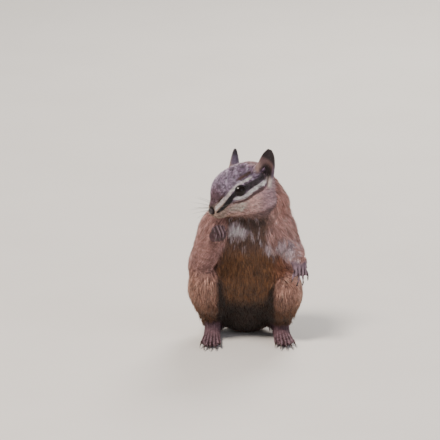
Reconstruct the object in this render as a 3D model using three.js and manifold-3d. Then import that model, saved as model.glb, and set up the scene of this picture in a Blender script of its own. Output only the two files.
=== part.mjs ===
// A chipmunk sitting up on its haunches, life size, in millimetres. +Z is up, it faces -Y and its left is +X.
// Its head is turned down and to its right, its right hand is held before its chin, and its left hand reaches
// out and down. The solids follow the outside of the short coat. The tail's long coat is built as flat locks.
import * as THREE from "three";
import { mergeVertices } from "three/addons/utils/BufferGeometryUtils.js";
import Module from "manifold-3d";

const wasm = await Module();
wasm.setup();

const at = (x, y, z) => new THREE.Vector3(x, y, z);
const degrees = Math.PI / 180;
const { lerp, clamp } = THREE.MathUtils;
const smoothLine = (points) => new THREE.CatmullRomCurve3(points);

// Driving dimensions.
const seam = 0.3; // the gap between neighbouring parts
const floorLevel = 0;
const eyeRadius = 3;
const eyeSocketGap = 0.4;
const lidSize = { halfLength: 2.7, halfHeight: 2.2, cornerDip: 0.35, radius: 0.5 };
const mouthSize = { halfWidth: 0.3, halfHeight: 0.34, turn: 78, lipTurn: 66, lipRadius: 0.5 };
const earLength = 18; // from its root, which lies in the head
const earHalfWidth = 3.95;
const earThickness = { root: 1.1, tip: 0.6 };
const handSize = {
  palmLength: 4.9,
  palmHalfWidth: 2.7,
  fingerLengths: [2.6, 2, 1.6],
  fingerRadii: [0.9, 0.62],
  claw: 1.4,
};
const footSize = { halfWidth: 2.7, toeLengths: [3, 2.5, 2], toeRadii: [1.05, 0.75], claw: 1.8, spread: 0.24 };
const tailCore = { root: 4.2, end: 2 };
const lockSize = { length: 17.5, halfWidth: 3.4, halfThickness: 0.85, spread: 4.8 };
const lockRows = 7;
const locksAround = 6;

// Where the joints of the pose are.
const headCentre = at(-2.8, -8, 63.6);
const headTurn = new THREE.Euler(12 * degrees, -8.5 * degrees, -50 * degrees, "ZXY");
const pelvis = at(0, 11, 13.2);
const joints = {
  right: {
    shoulder: at(-11, -1.5, 46),
    elbow: at(-18.4, -3.4, 31.6),
    wrist: at(-11.8, -18.6, 46.4),
    hip: at(-12, 9, 15),
    knee: at(-16.6, -7, 24.5),
    ankle: at(-14.3, 0, 8.4),
    heel: at(-13.4, 6.6, 2.7),
    toes: at(-14.4, -15.6, 1.3),
  },
  left: {
    shoulder: at(12.4, -1.5, 46),
    elbow: at(18.2, 2.6, 35),
    wrist: at(21.4, -12, 36.4),
    hip: at(12, 9, 15),
    knee: at(15.8, -8, 20.5),
    ankle: at(14.4, 1, 7.8),
    heel: at(13.6, 7.6, 2.7),
    toes: at(15.8, -14.4, 1.3),
  },
};

// Fields. Each tells about how far a point lies outside a shape, and is below zero inside it.

function egg(centre, radii, turn = new THREE.Euler()) {
  const unturn = new THREE.Quaternion().setFromEuler(turn).invert();
  const near = at(0, 0, 0);
  return (point) => {
    near.copy(point).sub(centre).applyQuaternion(unturn);
    const shell = Math.hypot(near.x / radii.x, near.y / radii.y, near.z / radii.z);
    const slope = Math.hypot(near.x / radii.x ** 2, near.y / radii.y ** 2, near.z / radii.z ** 2);
    return slope > 0 ? (shell * (shell - 1)) / slope : -Math.min(radii.x, radii.y, radii.z);
  };
}

function rod(from, to, fromRadius, toRadius) {
  const along = to.clone().sub(from);
  const lengthSquared = along.lengthSq();
  const near = at(0, 0, 0);
  return (point) => {
    const share = clamp(near.copy(point).sub(from).dot(along) / lengthSquared, 0, 1);
    near.copy(from).addScaledVector(along, share);
    return near.distanceTo(point) - lerp(fromRadius, toRadius, share);
  };
}

// Joins fields with a soft crease of about this width.
function flesh(softness, ...fields) {
  return (point) =>
    fields
      .map((field) => field(point))
      .reduce((nearest, next) => {
        const mix = Math.max(softness - Math.abs(nearest - next), 0) / softness;
        return Math.min(nearest, next) - (mix * mix * softness) / 4;
      });
}

// Closed surfaces.

function surface(points, faces) {
  const geometry = new THREE.BufferGeometry().setFromPoints(points);
  geometry.setIndex(faces.flat());
  return geometry;
}

// Joins rings of points between two poles into one closed surface. A ring is a list of point numbers.
function facesBetween(rings, firstPole, lastPole) {
  const faces = [];
  const sides = rings[0].length;
  for (let side = 0; side < sides; side++) {
    const next = (side + 1) % sides;
    faces.push([firstPole, rings[0][next], rings[0][side]]);
    for (let ring = 0; ring < rings.length - 1; ring++) {
      const [low, high] = [rings[ring], rings[ring + 1]];
      faces.push([low[side], low[next], high[side]], [low[next], high[next], high[side]]);
    }
    const end = rings[rings.length - 1];
    faces.push([lastPole, end[side], end[next]]);
  }
  return faces;
}

// How far a ray runs from inside a field until the field reaches a level.
function reach(field, from, direction, level) {
  const stride = 0.4;
  const probe = at(0, 0, 0);
  let near = 0;
  while (field(probe.copy(from).addScaledVector(direction, near + stride)) < level) near += stride;
  let far = near + stride;
  for (let halving = 0; halving < 12; halving++) {
    const middle = (near + far) / 2;
    if (field(probe.copy(from).addScaledVector(direction, middle)) < level) near = middle;
    else far = middle;
  }
  return (near + far) / 2;
}

// Wraps a closed surface round a field. Its rays leave a spine, and tip over from one end of it to the other.
function wrap(field, spine, rings, sides, front, level = 0) {
  const points = [];
  const pointAt = (share, side) => {
    const tilt = Math.PI * share;
    const along = (1 - Math.cos(tilt)) / 2;
    const from = spine.getPointAt(along);
    const tangent = spine.getTangentAt(along);
    const normal = front.clone().addScaledVector(tangent, -front.dot(tangent)).normalize();
    const binormal = tangent.clone().cross(normal);
    const turn = (2 * Math.PI * side) / sides;
    const direction = normal
      .multiplyScalar(Math.cos(turn))
      .addScaledVector(binormal, Math.sin(turn))
      .multiplyScalar(Math.sin(tilt))
      .addScaledVector(tangent, -Math.cos(tilt))
      .normalize();
    return from.clone().addScaledVector(direction, reach(field, from, direction, level));
  };
  const ringNumbers = [];
  for (let ring = 1; ring < rings; ring++) {
    ringNumbers.push([]);
    for (let side = 0; side < sides; side++) {
      ringNumbers[ring - 1].push(points.length);
      points.push(pointAt(ring / rings, side));
    }
  }
  points.push(pointAt(0, 0), pointAt(1, 0));
  return surface(points, facesBetween(ringNumbers, points.length - 2, points.length - 1));
}

// A closed tube along a curve. size tells the half width and half thickness at a share of the way along, and
// flatTo the direction that the thickness is measured in.
function tube(curve, size, rings, sides, flatTo) {
  const points = [];
  const ringNumbers = [];
  for (let ring = 0; ring <= rings; ring++) {
    const share = ring / rings;
    const [width, thickness] = size(share);
    if (width < 1e-6) continue;
    const centre = curve.getPointAt(share);
    const tangent = curve.getTangentAt(share);
    const normal = flatTo.clone().addScaledVector(tangent, -flatTo.dot(tangent)).normalize();
    const binormal = tangent.clone().cross(normal);
    const numbers = [];
    for (let side = 0; side < sides; side++) {
      const turn = (2 * Math.PI * side) / sides;
      numbers.push(points.length);
      points.push(
        centre
          .clone()
          .addScaledVector(normal, thickness * Math.cos(turn))
          .addScaledVector(binormal, width * Math.sin(turn)),
      );
    }
    ringNumbers.push(numbers);
  }
  points.push(curve.getPointAt(0), curve.getPointAt(1));
  return surface(points, facesBetween(ringNumbers, points.length - 2, points.length - 1));
}

// A thin curved sheet, with its triangles split alike on both faces. pointAt tells the point at a share of
// the height, a share across from -1 to 1, and a depth into the sheet.
function sheet(pointAt, thicknessAt, rows, columns) {
  const points = [];
  const number = (face, row, column) => (face * (rows + 1) + row) * (columns + 1) + column;
  for (const face of [0, 1])
    for (let row = 0; row <= rows; row++)
      for (let column = 0; column <= columns; column++) {
        const height = row / rows;
        const across = (2 * column) / columns - 1;
        points.push(pointAt(height, across, face * thicknessAt(height)));
      }
  const faces = [];
  const quad = (a, b, c, d) => faces.push([a, c, b], [a, d, c]);
  for (let row = 0; row < rows; row++)
    for (let column = 0; column < columns; column++) {
      const corners = (face) => [
        number(face, row, column),
        number(face, row, column + 1),
        number(face, row + 1, column + 1),
        number(face, row + 1, column),
      ];
      const [a, b, c, d] = corners(0);
      const [e, f, g, h] = corners(1);
      faces.push([a, c, b], [a, d, c], [e, f, g], [e, g, h]);
    }
  const rim = (from, to) => quad(number(0, ...from), number(0, ...to), number(1, ...to), number(1, ...from));
  for (let column = 0; column < columns; column++) {
    rim([0, column + 1], [0, column]);
    rim([rows, column], [rows, column + 1]);
  }
  for (let row = 0; row < rows; row++) {
    rim([row, 0], [row + 1, 0]);
    rim([row + 1, columns], [row, columns]);
  }
  return surface(points, faces);
}

// Solids, for joining and cutting.

function solid(geometry) {
  const bare = geometry.clone();
  bare.deleteAttribute("normal");
  bare.deleteAttribute("uv");
  const merged = mergeVertices(bare, 1e-4);
  return new wasm.Manifold(
    new wasm.Mesh({
      numProp: 3,
      vertProperties: merged.attributes.position.array,
      triVerts: new Uint32Array(merged.index.array),
    }),
  );
}

// The largest closed surface of a solid, which fills sealed hollows and drops loose scraps.
function largest(body) {
  return body.decompose().reduce((most, next) => (next.volume() > most.volume() ? next : most));
}

// Slivers thinner than a tolerance are merged away. Hands and feet take a coarser one than the head and body,
// and the tail the coarsest.
const tolerances = { body: 0.05, paw: 0.08, tail: 0.16 };
const tidied = (body, tolerance = tolerances.body) => largest(largest(body).simplify(tolerance));
const fused = (...bodies) => tidied(bodies.reduce((all, next) => all.add(next)));
const cut = (body, ...tools) => tidied(tools.reduce((left, tool) => left.subtract(tool), body));

function slab(centre, normal, size, thickness) {
  const box = new THREE.BoxGeometry(size, size, thickness);
  const turn = new THREE.Quaternion().setFromUnitVectors(at(0, 0, 1), normal.clone().normalize());
  return solid(box.applyQuaternion(turn).translate(centre.x, centre.y, centre.z));
}

const floorSize = 300;
const floorDepth = 40;
const underFloor = slab(at(0, 0, floorLevel - floorDepth / 2), at(0, 0, 1), floorSize, floorDepth);

// Head, in a frame of its own: the origin is between the ears and the nose, and the nose points to -Y.

const headMatrix = new THREE.Matrix4().compose(
  headCentre,
  new THREE.Quaternion().setFromEuler(headTurn),
  at(1, 1, 1),
);
const inHead = (x, y, z) => at(x, y, z).applyMatrix4(headMatrix);
const eyeCentre = at(6.1, -4.5, 2.3);
const noseCentre = at(0, -16.1, -2.4);
const bothSides = (make) => [make(1), make(-1)];

const skull = flesh(
  3.2,
  egg(at(0, 4.8, 1.6), at(9.6, 11, 9)),
  egg(at(0, -2.8, 2), at(8.3, 9.6, 8.5)),
  rod(at(0, -4.4, -0.2), at(0, -12.5, -2.4), 7, 3.8),
  rod(at(0, 3, -5.2), at(0, -11.1, -4.6), 4, 1.9),
  ...bothSides((side) => egg(at(side * 5, 4, -5), at(5.9, 8.4, 6.4))),
);
const headField = flesh(
  1.4,
  skull,
  ...bothSides((side) => egg(at(side * 2, -12.5, -3.3), at(2.4, 3.1, 2.4))),
  ...bothSides((side) => egg(at(side * 5.3, -4.3, 2.4), at(3.3, 4.4, 3.8))),
);
const headSpine = new THREE.LineCurve3(at(0, 11, 0.5), at(0, -12.1, -3));
const headSkin = (level, rings, sides) => wrap(headField, headSpine, rings, sides, at(0, 0, 1), level);

function lid(side) {
  const centre = at(side * eyeCentre.x, eyeCentre.y, eyeCentre.z);
  const outward = at(side * 0.93, -0.32, 0.18).normalize();
  const forward = at(0, -1, -0.25).addScaledVector(outward, -outward.dot(at(0, -1, -0.25))).normalize();
  const upward = forward.clone().cross(outward).multiplyScalar(side);
  const rim = [];
  const rimPoints = 14;
  for (let step = 0; step < rimPoints; step++) {
    const turn = (2 * Math.PI * step) / rimPoints;
    const dip = lidSize.cornerDip * Math.max(Math.cos(turn), 0) ** 3;
    const onRim = forward
      .clone()
      .multiplyScalar(lidSize.halfLength * Math.cos(turn))
      .addScaledVector(upward, lidSize.halfHeight * Math.sin(turn) - dip);
    const lift = Math.sqrt((eyeRadius + 0.1) ** 2 - onRim.lengthSq());
    rim.push(centre.clone().add(onRim).addScaledVector(outward, lift));
  }
  return hoop(rim, lidSize.radius, 5, outward);
}

// A closed ring of round section through points in a loop.
function hoop(loop, radius, sides, axis) {
  const path = new THREE.CatmullRomCurve3(loop, true);
  const steps = loop.length + 3;
  const points = [];
  const faces = [];
  for (let step = 0; step < steps; step++) {
    const centre = path.getPointAt(step / steps);
    const binormal = path.getTangentAt(step / steps).cross(axis).normalize();
    const normal = binormal.clone().cross(path.getTangentAt(step / steps)).normalize();
    for (let side = 0; side < sides; side++) {
      const turn = (2 * Math.PI * side) / sides;
      points.push(
        centre
          .clone()
          .addScaledVector(normal, radius * Math.cos(turn))
          .addScaledVector(binormal, radius * Math.sin(turn)),
      );
      const [here, there] = [step * sides, ((step + 1) % steps) * sides];
      const next = (side + 1) % sides;
      faces.push([here + side, here + next, there + side], [here + next, there + next, there + side]);
    }
  }
  return surface(points, faces);
}

const eyeball = (side, radius, detail) =>
  new THREE.IcosahedronGeometry(radius, detail).translate(side * eyeCentre.x, eyeCentre.y, eyeCentre.z);

const noseField = flesh(
  0.8,
  egg(noseCentre, at(1.35, 0.9, 1.1)),
  egg(noseCentre.clone().add(at(0, 0.4, -0.9)), at(0.7, 0.8, 0.9)),
);
const noseSpine = new THREE.LineCurve3(
  noseCentre.clone().add(at(-0.5, 0, 0)),
  noseCentre.clone().add(at(0.5, 0, 0)),
);
const noseSkin = (level) => wrap(noseField, noseSpine, 7, 12, at(0, 0, 1), level);

function nostril(side) {
  const curve = smoothLine([
    noseCentre.clone().add(at(side * 0.45, -1.5, -0.25)),
    noseCentre.clone().add(at(side * 0.85, -0.9, -0.1)),
    noseCentre.clone().add(at(side * 1.6, -0.25, 0.35)),
  ]);
  return tube(curve, () => [0.28, 0.28], 4, 5, at(0, 0, 1));
}

// The line of the mouth runs round the front of the muzzle, just under the whisker pads.
function mouthLine() {
  const points = [];
  const steps = 12;
  for (let step = 0; step <= steps; step++) {
    const across = (2 * step) / steps - 1;
    const turn = across * mouthSize.turn * degrees;
    const from = at(0, -9.5, -5.3 + 1.5 * across * across);
    const direction = at(Math.sin(turn), -Math.cos(turn), 0);
    points.push(from.clone().addScaledVector(direction, reach(headField, from, direction, 0)));
  }
  const size = () => [mouthSize.halfWidth, mouthSize.halfHeight];
  return tube(smoothLine(points), size, 18, 5, at(0, 0, 1));
}

function philtrum() {
  const from = at(0, -11.9, -3.6);
  const points = [0, 25, 50].map((drop) => {
    const direction = at(0, -Math.cos(drop * degrees), -Math.sin(drop * degrees));
    return from.clone().addScaledVector(direction, reach(headField, from, direction, 0));
  });
  return tube(smoothLine(points), () => [0.22, 0.3], 3, 5, at(0, -1, 0));
}

// The lower lip is a soft rim under that line.
function lip() {
  const points = [];
  const steps = 8;
  for (let step = 0; step <= steps; step++) {
    const across = (2 * step) / steps - 1;
    const turn = across * mouthSize.lipTurn * degrees;
    const from = at(0, -9.5, -5.9 + 1.3 * across * across);
    const direction = at(Math.sin(turn), -Math.cos(turn), -0.1).normalize();
    points.push(from.clone().addScaledVector(direction, reach(headField, from, direction, 0) - 0.2));
  }
  const size = (share) => {
    const radius = mouthSize.lipRadius * Math.sqrt(Math.sin(Math.PI * clamp(share, 0.02, 0.98)));
    return [radius, radius];
  };
  return tube(smoothLine(points), size, 10, 6, at(0, 0, 1));
}

const clearance = seam + 0.25; // for coarser copies that cut neighbours clear
const headClear = solid(headSkin(clearance, 18, 20));
const headBody = cut(
  fused(solid(headSkin(0, 23, 28)), solid(lid(1)), solid(lid(-1)), solid(lip())),
  solid(eyeball(1, eyeRadius + eyeSocketGap, 2)),
  solid(eyeball(-1, eyeRadius + eyeSocketGap, 2)),
  solid(noseSkin(seam)),
  solid(mouthLine()),
  solid(philtrum()),
);
const noseBody = cut(solid(noseSkin(0)), solid(nostril(1)), solid(nostril(-1)));

// Ears: deep cups open forwards and outwards, with a soft point. Both are laid out as left ears here.
// The right one stands more upright and is turned a little further out.
const earPose = {
  left: { root: at(6.1, 6.6, -1.7), tip: at(11.8, 11.4, 13.9), opening: at(0.72, -0.7, 0.05) },
  right: { root: at(8, 5.4, -2.7), tip: at(10.4, 10.9, 14), opening: at(0.82, -0.56, 0.05) },
};

function earPlace({ root, tip, opening }) {
  const up = tip.clone().sub(root).normalize();
  const back = opening.clone().addScaledVector(up, -opening.dot(up)).normalize().negate();
  return new THREE.Matrix4().makeBasis(back.clone().cross(up), back, up).setPosition(root);
}

function earPoint(height, across, depth) {
  const widening = lerp(0.5, 1, Math.sin((Math.min(height / 0.5, 1) * Math.PI) / 2));
  const oval = widening * Math.sqrt(1 - (Math.max(height - 0.42, 0) / 0.6) ** 2);
  const wrapAngle = lerp(125, 50, height) * degrees;
  const radius = (earHalfWidth * oval) / Math.sin(Math.min(wrapAngle, Math.PI / 2));
  const turn = across * wrapAngle;
  const back = 2.6 * height * (1 - height) + 0.6;
  return at(
    (radius - depth) * Math.sin(turn),
    back - radius + (radius - depth) * Math.cos(turn),
    earLength * height,
  );
}

function ear(side) {
  const thickness = (height) => lerp(earThickness.root, earThickness.tip, height);
  const geometry = sheet(earPoint, thickness, 11, 8);
  geometry.applyMatrix4(earPlace(side > 0 ? earPose.left : earPose.right));
  if (side > 0) return cut(solid(geometry), headClear);
  geometry.applyMatrix4(new THREE.Matrix4().makeScale(-1, 1, 1));
  geometry.setIndex(flipped(geometry.index.array));
  return cut(solid(geometry), headClear);
}

function flipped(index) {
  const turned = [];
  for (let corner = 0; corner < index.length; corner += 3)
    turned.push(index[corner], index[corner + 2], index[corner + 1]);
  return turned;
}

// Neck and torso.

const torsoField = flesh(
  7,
  egg(pelvis, at(15, 13.2, 13.7)),
  egg(at(0, 5, 26.5), at(17.6, 17.6, 13.5)),
  egg(at(0.4, 4, 37), at(16.6, 15, 13)),
  egg(at(0.6, 2, 46), at(14.5, 11, 10)),
  egg(at(-9, 0, 45.5), at(5.6, 6.5, 7)),
  egg(at(10.2, 0, 45.5), at(5.6, 6.5, 7)),
);
const torsoSpine = smoothLine([at(0, 7, 12), at(0, 6, 24), at(0.4, 4, 36), at(0.8, 1.6, 46)]);
const torsoSkin = (level, rings, sides) => wrap(torsoField, torsoSpine, rings, sides, at(0, -1, 0), level);
const waist = { centre: at(0, 4, 28), normal: at(0, -0.12, 1), reach: 40 };
const torsoWhole = solid(torsoSkin(0, 22, 26));
const torsoClear = solid(torsoSkin(clearance + 0.1, 18, 20));
const waistCut = slab(waist.centre, waist.normal, 2 * waist.reach, seam);
const aboveWaist = waist.centre.clone().addScaledVector(waist.normal, waist.reach);
const above = slab(aboveWaist, waist.normal, 2 * waist.reach, 2 * waist.reach);
const chestBody = largest(torsoWhole.subtract(waistCut).intersect(above));
const abdomenBody = cut(torsoWhole, waistCut, above, underFloor);

const neckTop = inHead(0, 8, -2.4);
const neckField = flesh(
  5,
  rod(neckTop, at(2, 2, 49), 9.6, 13.2),
  egg(at(5.3, -0.2, 57.2), at(13.2, 11, 7.8)),
);
const neckSpine = new THREE.LineCurve3(at(2, 2, 49), neckTop);
const neckSkin = (level, rings, sides) =>
  solid(wrap(neckField, neckSpine, rings, sides, at(0, -1, 0), level));
const headTool = transformed(headClear, headMatrix);
const neckClear = neckSkin(clearance, 10, 16);

function transformed(body, matrix) {
  return body.transform(matrix.toArray());
}

// Arms.

const between = (from, to, share) => from.clone().lerp(to, share);

function armParts(side, joint) {
  const { shoulder, elbow, wrist } = joint;
  const upperField = flesh(4, egg(shoulder, at(7.6, 8.6, 9)), rod(shoulder, elbow, 7.6, 5.6));
  const foreField = flesh(2, rod(elbow, between(elbow, wrist, 0.5), 5, 4.2), rod(elbow, wrist, 4.6, 2.4));
  const upperSpine = new THREE.LineCurve3(shoulder, elbow);
  const foreSpine = new THREE.LineCurve3(elbow, wrist);
  const skin = (field, spine, front) => (level, rings, sides) =>
    solid(wrap(field, spine, rings, sides, front, level));
  const upperSkin = skin(upperField, upperSpine, at(0, -1, 0.3));
  const foreSkin = skin(foreField, foreSpine, at(side, 0, 0.2));
  return {
    upper: upperSkin(0, 10, 14),
    upperClear: upperSkin(clearance, 8, 12),
    fore: foreSkin(0, 10, 12),
    foreClear: foreSkin(clearance, 8, 10),
  };
}

// A finger or toe, bent in steps towards the palm and ended by a claw.
function digit(root, direction, palm, lengths, bends, radii, claw) {
  const points = [root.clone()];
  let heading = direction.clone();
  const axis = direction.clone().cross(palm).normalize();
  lengths.forEach((length, step) => {
    heading = heading.clone().applyAxisAngle(axis, bends[step] * degrees);
    points.push(points[points.length - 1].clone().addScaledVector(heading, length));
  });
  const path = smoothLine(points);
  const thick = (share) => {
    const knuckle = 1 + 0.09 * Math.cos(share * Math.PI * 2 * lengths.length);
    const radius = lerp(radii[0], radii[1], share) * knuckle * Math.sqrt(1 - share ** 9 * 0.8);
    return [radius, radius];
  };
  const tip = points[points.length - 1];
  const clawPath = smoothLine([
    tip.clone().addScaledVector(heading, -0.7).addScaledVector(palm, -0.15),
    tip.clone().addScaledVector(heading, claw * 0.45).addScaledVector(palm, -0.05),
    tip.clone().addScaledVector(heading, claw * 0.95).addScaledVector(palm, claw * 0.4),
  ]);
  const clawSize = (share) => [0.42 * (1 - share), 0.5 * (1 - share)];
  const sideways = direction.clone().cross(palm).normalize();
  return [
    solid(tube(path, thick, 5, 6, sideways)),
    solid(tube(clawPath, clawSize, 2, 4, sideways)),
  ];
}

function hand({ wrist, along, palm, bends, spread }) {
  const heading = along.clone().normalize();
  const inward = palm.clone().addScaledVector(heading, -palm.dot(heading)).normalize();
  const across = heading.clone().cross(inward).normalize();
  const knuckles = wrist.clone().addScaledVector(heading, handSize.palmLength);
  const padField = flesh(
    1.6,
    rod(wrist, between(wrist, knuckles, 0.7), 1.9, 1.9),
    ...[-0.75, -0.25, 0.25, 0.75].map((place) =>
      rod(
        wrist.clone().addScaledVector(across, place * 1.2),
        knuckles.clone().addScaledVector(across, place * handSize.palmHalfWidth),
        1.5,
        1.25,
      ),
    ),
  );
  const pieces = [solid(wrap(padField, new THREE.LineCurve3(wrist, knuckles), 8, 14, inward))];
  const fingerSizes = [0.82, 1, 0.98, 0.8];
  fingerSizes.forEach((size, index) => {
    const place = (index - 1.5) / 1.5;
    const root = knuckles
      .clone()
      .addScaledVector(across, place * (handSize.palmHalfWidth - 0.55))
      .addScaledVector(heading, -0.8 - 0.5 * Math.abs(place));
    const direction = heading.clone().addScaledVector(across, place * spread).normalize();
    const lengths = handSize.fingerLengths.map((length) => length * size);
    pieces.push(...digit(root, direction, inward, lengths, bends, handSize.fingerRadii, handSize.claw));
  });
  const thumb = wrist
    .clone()
    .addScaledVector(heading, 2.2)
    .addScaledVector(across, handSize.palmHalfWidth - 0.9);
  const thumbWay = across.clone().addScaledVector(heading, 0.7).normalize();
  pieces.push(...digit(thumb, thumbWay, inward, [1.1, 0.8], [10, 25], [0.8, 0.6], 0.6));
  return tidied(fused(...pieces), tolerances.paw);
}

// Legs.

function legParts(side, joint) {
  const { hip, knee, ankle } = joint;
  const thighField = flesh(
    5,
    egg(between(hip, knee, 0.35).add(at(side * 1.4, 1, 2.8)), at(7.8, 13.2, 11.1)),
    rod(between(hip, knee, 0.3), knee, 8.4, 6.6),
  );
  const shankField = flesh(3, rod(knee, between(knee, ankle, 0.6), 5, 4.7), rod(knee, ankle, 4.6, 3.1));
  const thighSpine = new THREE.LineCurve3(
    between(hip, knee, 0.1).add(at(side * 2, 0, 0)),
    between(hip, knee, 0.95),
  );
  const shankSpine = new THREE.LineCurve3(knee, ankle);
  const skin = (field, spine, front) => (level, rings, sides) =>
    solid(wrap(field, spine, rings, sides, front, level));
  const thighSkin = skin(thighField, thighSpine, at(0, 0, 1));
  const shankSkin = skin(shankField, shankSpine, at(0, -1, 0));
  return {
    thigh: thighSkin(0, 13, 18),
    thighClear: thighSkin(seam, 13, 18),
    shank: shankSkin(0, 9, 14),
    shankClear: shankSkin(clearance, 8, 12),
  };
}

function foot(joint) {
  const { ankle, heel, toes } = joint;
  const forward = toes.clone().sub(heel).setZ(0).normalize();
  const across = at(-forward.y, forward.x, 0);
  const balls = [-1, -0.5, 0, 0.5, 1].map((place) =>
    toes
      .clone()
      .addScaledVector(across, place * footSize.halfWidth)
      .addScaledVector(forward, -2.2 * place * place),
  );
  const soleField = flesh(
    1.8,
    rod(ankle, heel, 3, 2.9),
    rod(ankle, between(heel, toes, 0.4).setZ(2.6), 3, 2.6),
    ...balls.map((ball) => rod(between(heel, toes, 0.12).setZ(2.4), ball, 2.3, 1.6)),
  );
  const soleSpine = smoothLine([
    between(ankle, heel, 0.75),
    between(heel, toes, 0.35).setZ(2.6),
    toes.clone().setZ(1.6),
  ]);
  const pieces = [solid(wrap(soleField, soleSpine, 12, 13, at(0, 0, 1)))];
  const toeSizes = [0.74, 0.97, 1, 0.97, 0.74];
  balls.forEach((ball, index) => {
    const place = (index - 2) / 2;
    const size = toeSizes[index];
    const root = ball.clone().setZ(1.7).addScaledVector(forward, -0.8);
    const fanned = forward.clone().addScaledVector(across, place * footSize.spread);
    const direction = fanned.add(at(0, 0, 0.3)).normalize();
    const down = at(0, 0, -1);
    const lengths = footSize.toeLengths.map((length) => length * size);
    pieces.push(...digit(root, direction, down, lengths, [2, 20, 10], footSize.toeRadii, footSize.claw));
  });
  return tidied(fused(...pieces), tolerances.paw);
}

const arms = { right: armParts(-1, joints.right), left: armParts(1, joints.left) };
const legs = { right: legParts(-1, joints.right), left: legParts(1, joints.left) };
const feet = { right: foot(joints.right), left: foot(joints.left) };
const hands = {
  right: hand({
    wrist: joints.right.wrist.clone().add(at(0, -0.6, 0.6)),
    along: at(0.1, -0.45, 0.85),
    palm: at(0.35, -0.75, -0.4),
    bends: [55, 70, 45],
    spread: 0.1,
  }),
  left: hand({
    wrist: joints.left.wrist.clone().add(at(0, -0.4, -0.6)),
    along: at(0.15, -0.35, -0.9),
    palm: at(-0.3, 0.9, -0.35),
    bends: [4, 22, 26],
    spread: 0.3,
  }),
};

// Tail.

const tailPath = smoothLine([
  at(0.2, 15, 9.5),
  at(0.6, 21, 6.6),
  at(1.6, 30, 4.6),
  at(4.2, 46, 4),
  at(7, 64, 3.8),
  at(7.4, 82, 3.6),
  at(5.6, 92, 3.6),
]);

function seeded(seed) {
  let state = seed;
  return () => {
    state = (state * 1664525 + 1013904223) % 2 ** 32;
    return state / 2 ** 32;
  };
}

function tailCoreGeometry() {
  const size = (share) => {
    const radius = lerp(tailCore.root, tailCore.end, share) * Math.sqrt(1 - share ** 12 * 0.9);
    return [radius * 1.1, radius * 0.9];
  };
  return tube(tailPath, size, 14, 10, at(0, 0, 1));
}

// A flat lock of coat: it leaves the core, bends back along the tail and sinks towards its tip.
function lock(share, angle, size, droop) {
  const centre = tailPath.getPointAt(share);
  const tangent = tailPath.getTangentAt(share);
  const up = at(0, 0, 1).addScaledVector(tangent, -tangent.z).normalize();
  const side = tangent.clone().cross(up);
  const outward = side.multiplyScalar(Math.cos(angle)).addScaledVector(up, 0.8 * Math.sin(angle));
  const core = lerp(tailCore.root, tailCore.end, share);
  const spread = lockSize.spread * lerp(0.55, 1, Math.min(share / 0.35, 1));
  const points = [
    [0, 0.2 * core],
    [0.3, core + 0.25 * spread],
    [0.65, core + 0.72 * spread],
    [1, core + spread],
  ].map(([along, out]) => {
    const point = centre.clone().addScaledVector(tangent, along * lockSize.length * size);
    point.addScaledVector(outward, out * (0.75 + 0.25 * size));
    point.z = Math.max(point.z - droop * along * along, 0.7);
    return point;
  });
  const taper = (place) => {
    const full = Math.sqrt(1 - place) * (0.8 + 0.6 * place);
    const thin = (0.4 + 0.6 * full) * Math.min(1, 4 - 4 * place);
    return [lockSize.halfWidth * full, lockSize.halfThickness * thin];
  };
  return solid(tube(smoothLine(points), taper, 3, 4, outward));
}

// Rows of locks, which leave the underside of the tail bare.
function tailLocks() {
  const random = seeded(11);
  const locks = [];
  const [firstAngle, lastAngle] = [-35, 215];
  const step = (lastAngle - firstAngle) / locksAround;
  for (let row = 0; row < lockRows; row++)
    for (let place = 0; place < locksAround; place++) {
      const shift = row % 2 ? 0.25 : -0.25;
      const angle = firstAngle + step * (place + 0.5 + shift) + (random() - 0.5) * 14;
      const share = lerp(0.07, 0.955, row / (lockRows - 1)) + (random() - 0.5) * 0.02;
      locks.push(lock(share, angle * degrees, 0.86 + 0.28 * random(), 1 + random()));
    }
  return locks;
}

const tailBody = tidied(fused(solid(tailCoreGeometry()), ...tailLocks()), tolerances.tail);

// Nodes and finishes.

const colours = {
  head: 0x8a7466,
  torso: 0x9a7c66,
  limbs: 0xa78a76,
  skin: 0x6d5a58,
  ear: 0x54484a,
  eye: 0x120c0a,
  nose: 0x5c4644,
  tail: 0x8c6a48,
};

const chipmunk = new THREE.Group();

function add(name, body, colour, roughness = 0.85) {
  const { vertProperties, triVerts, numProp } = body.getMesh();
  const points = [];
  for (let start = 0; start < vertProperties.length; start += numProp)
    points.push(at(vertProperties[start], vertProperties[start + 1], vertProperties[start + 2]));
  const geometry = new THREE.BufferGeometry().setFromPoints(points);
  geometry.setIndex(Array.from(triVerts));
  const finish = new THREE.MeshStandardMaterial({ color: colour, roughness, metalness: 0 });
  const mesh = new THREE.Mesh(geometry, finish);
  mesh.name = name;
  chipmunk.add(mesh);
}

add("head", transformed(headBody, headMatrix), colours.head);
add("nose", transformed(noseBody, headMatrix), colours.nose, 0.45);
add("eye_left", transformed(solid(eyeball(1, eyeRadius, 3)), headMatrix), colours.eye, 0.05);
add("eye_right", transformed(solid(eyeball(-1, eyeRadius, 3)), headMatrix), colours.eye, 0.05);
// What is placed later is cut clear of what is placed before it.
const taken = [headTool, torsoClear];

function place(name, body, clear, colour) {
  add(name, cut(body, ...taken, underFloor), colour);
  if (clear) taken.push(clear);
}

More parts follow.
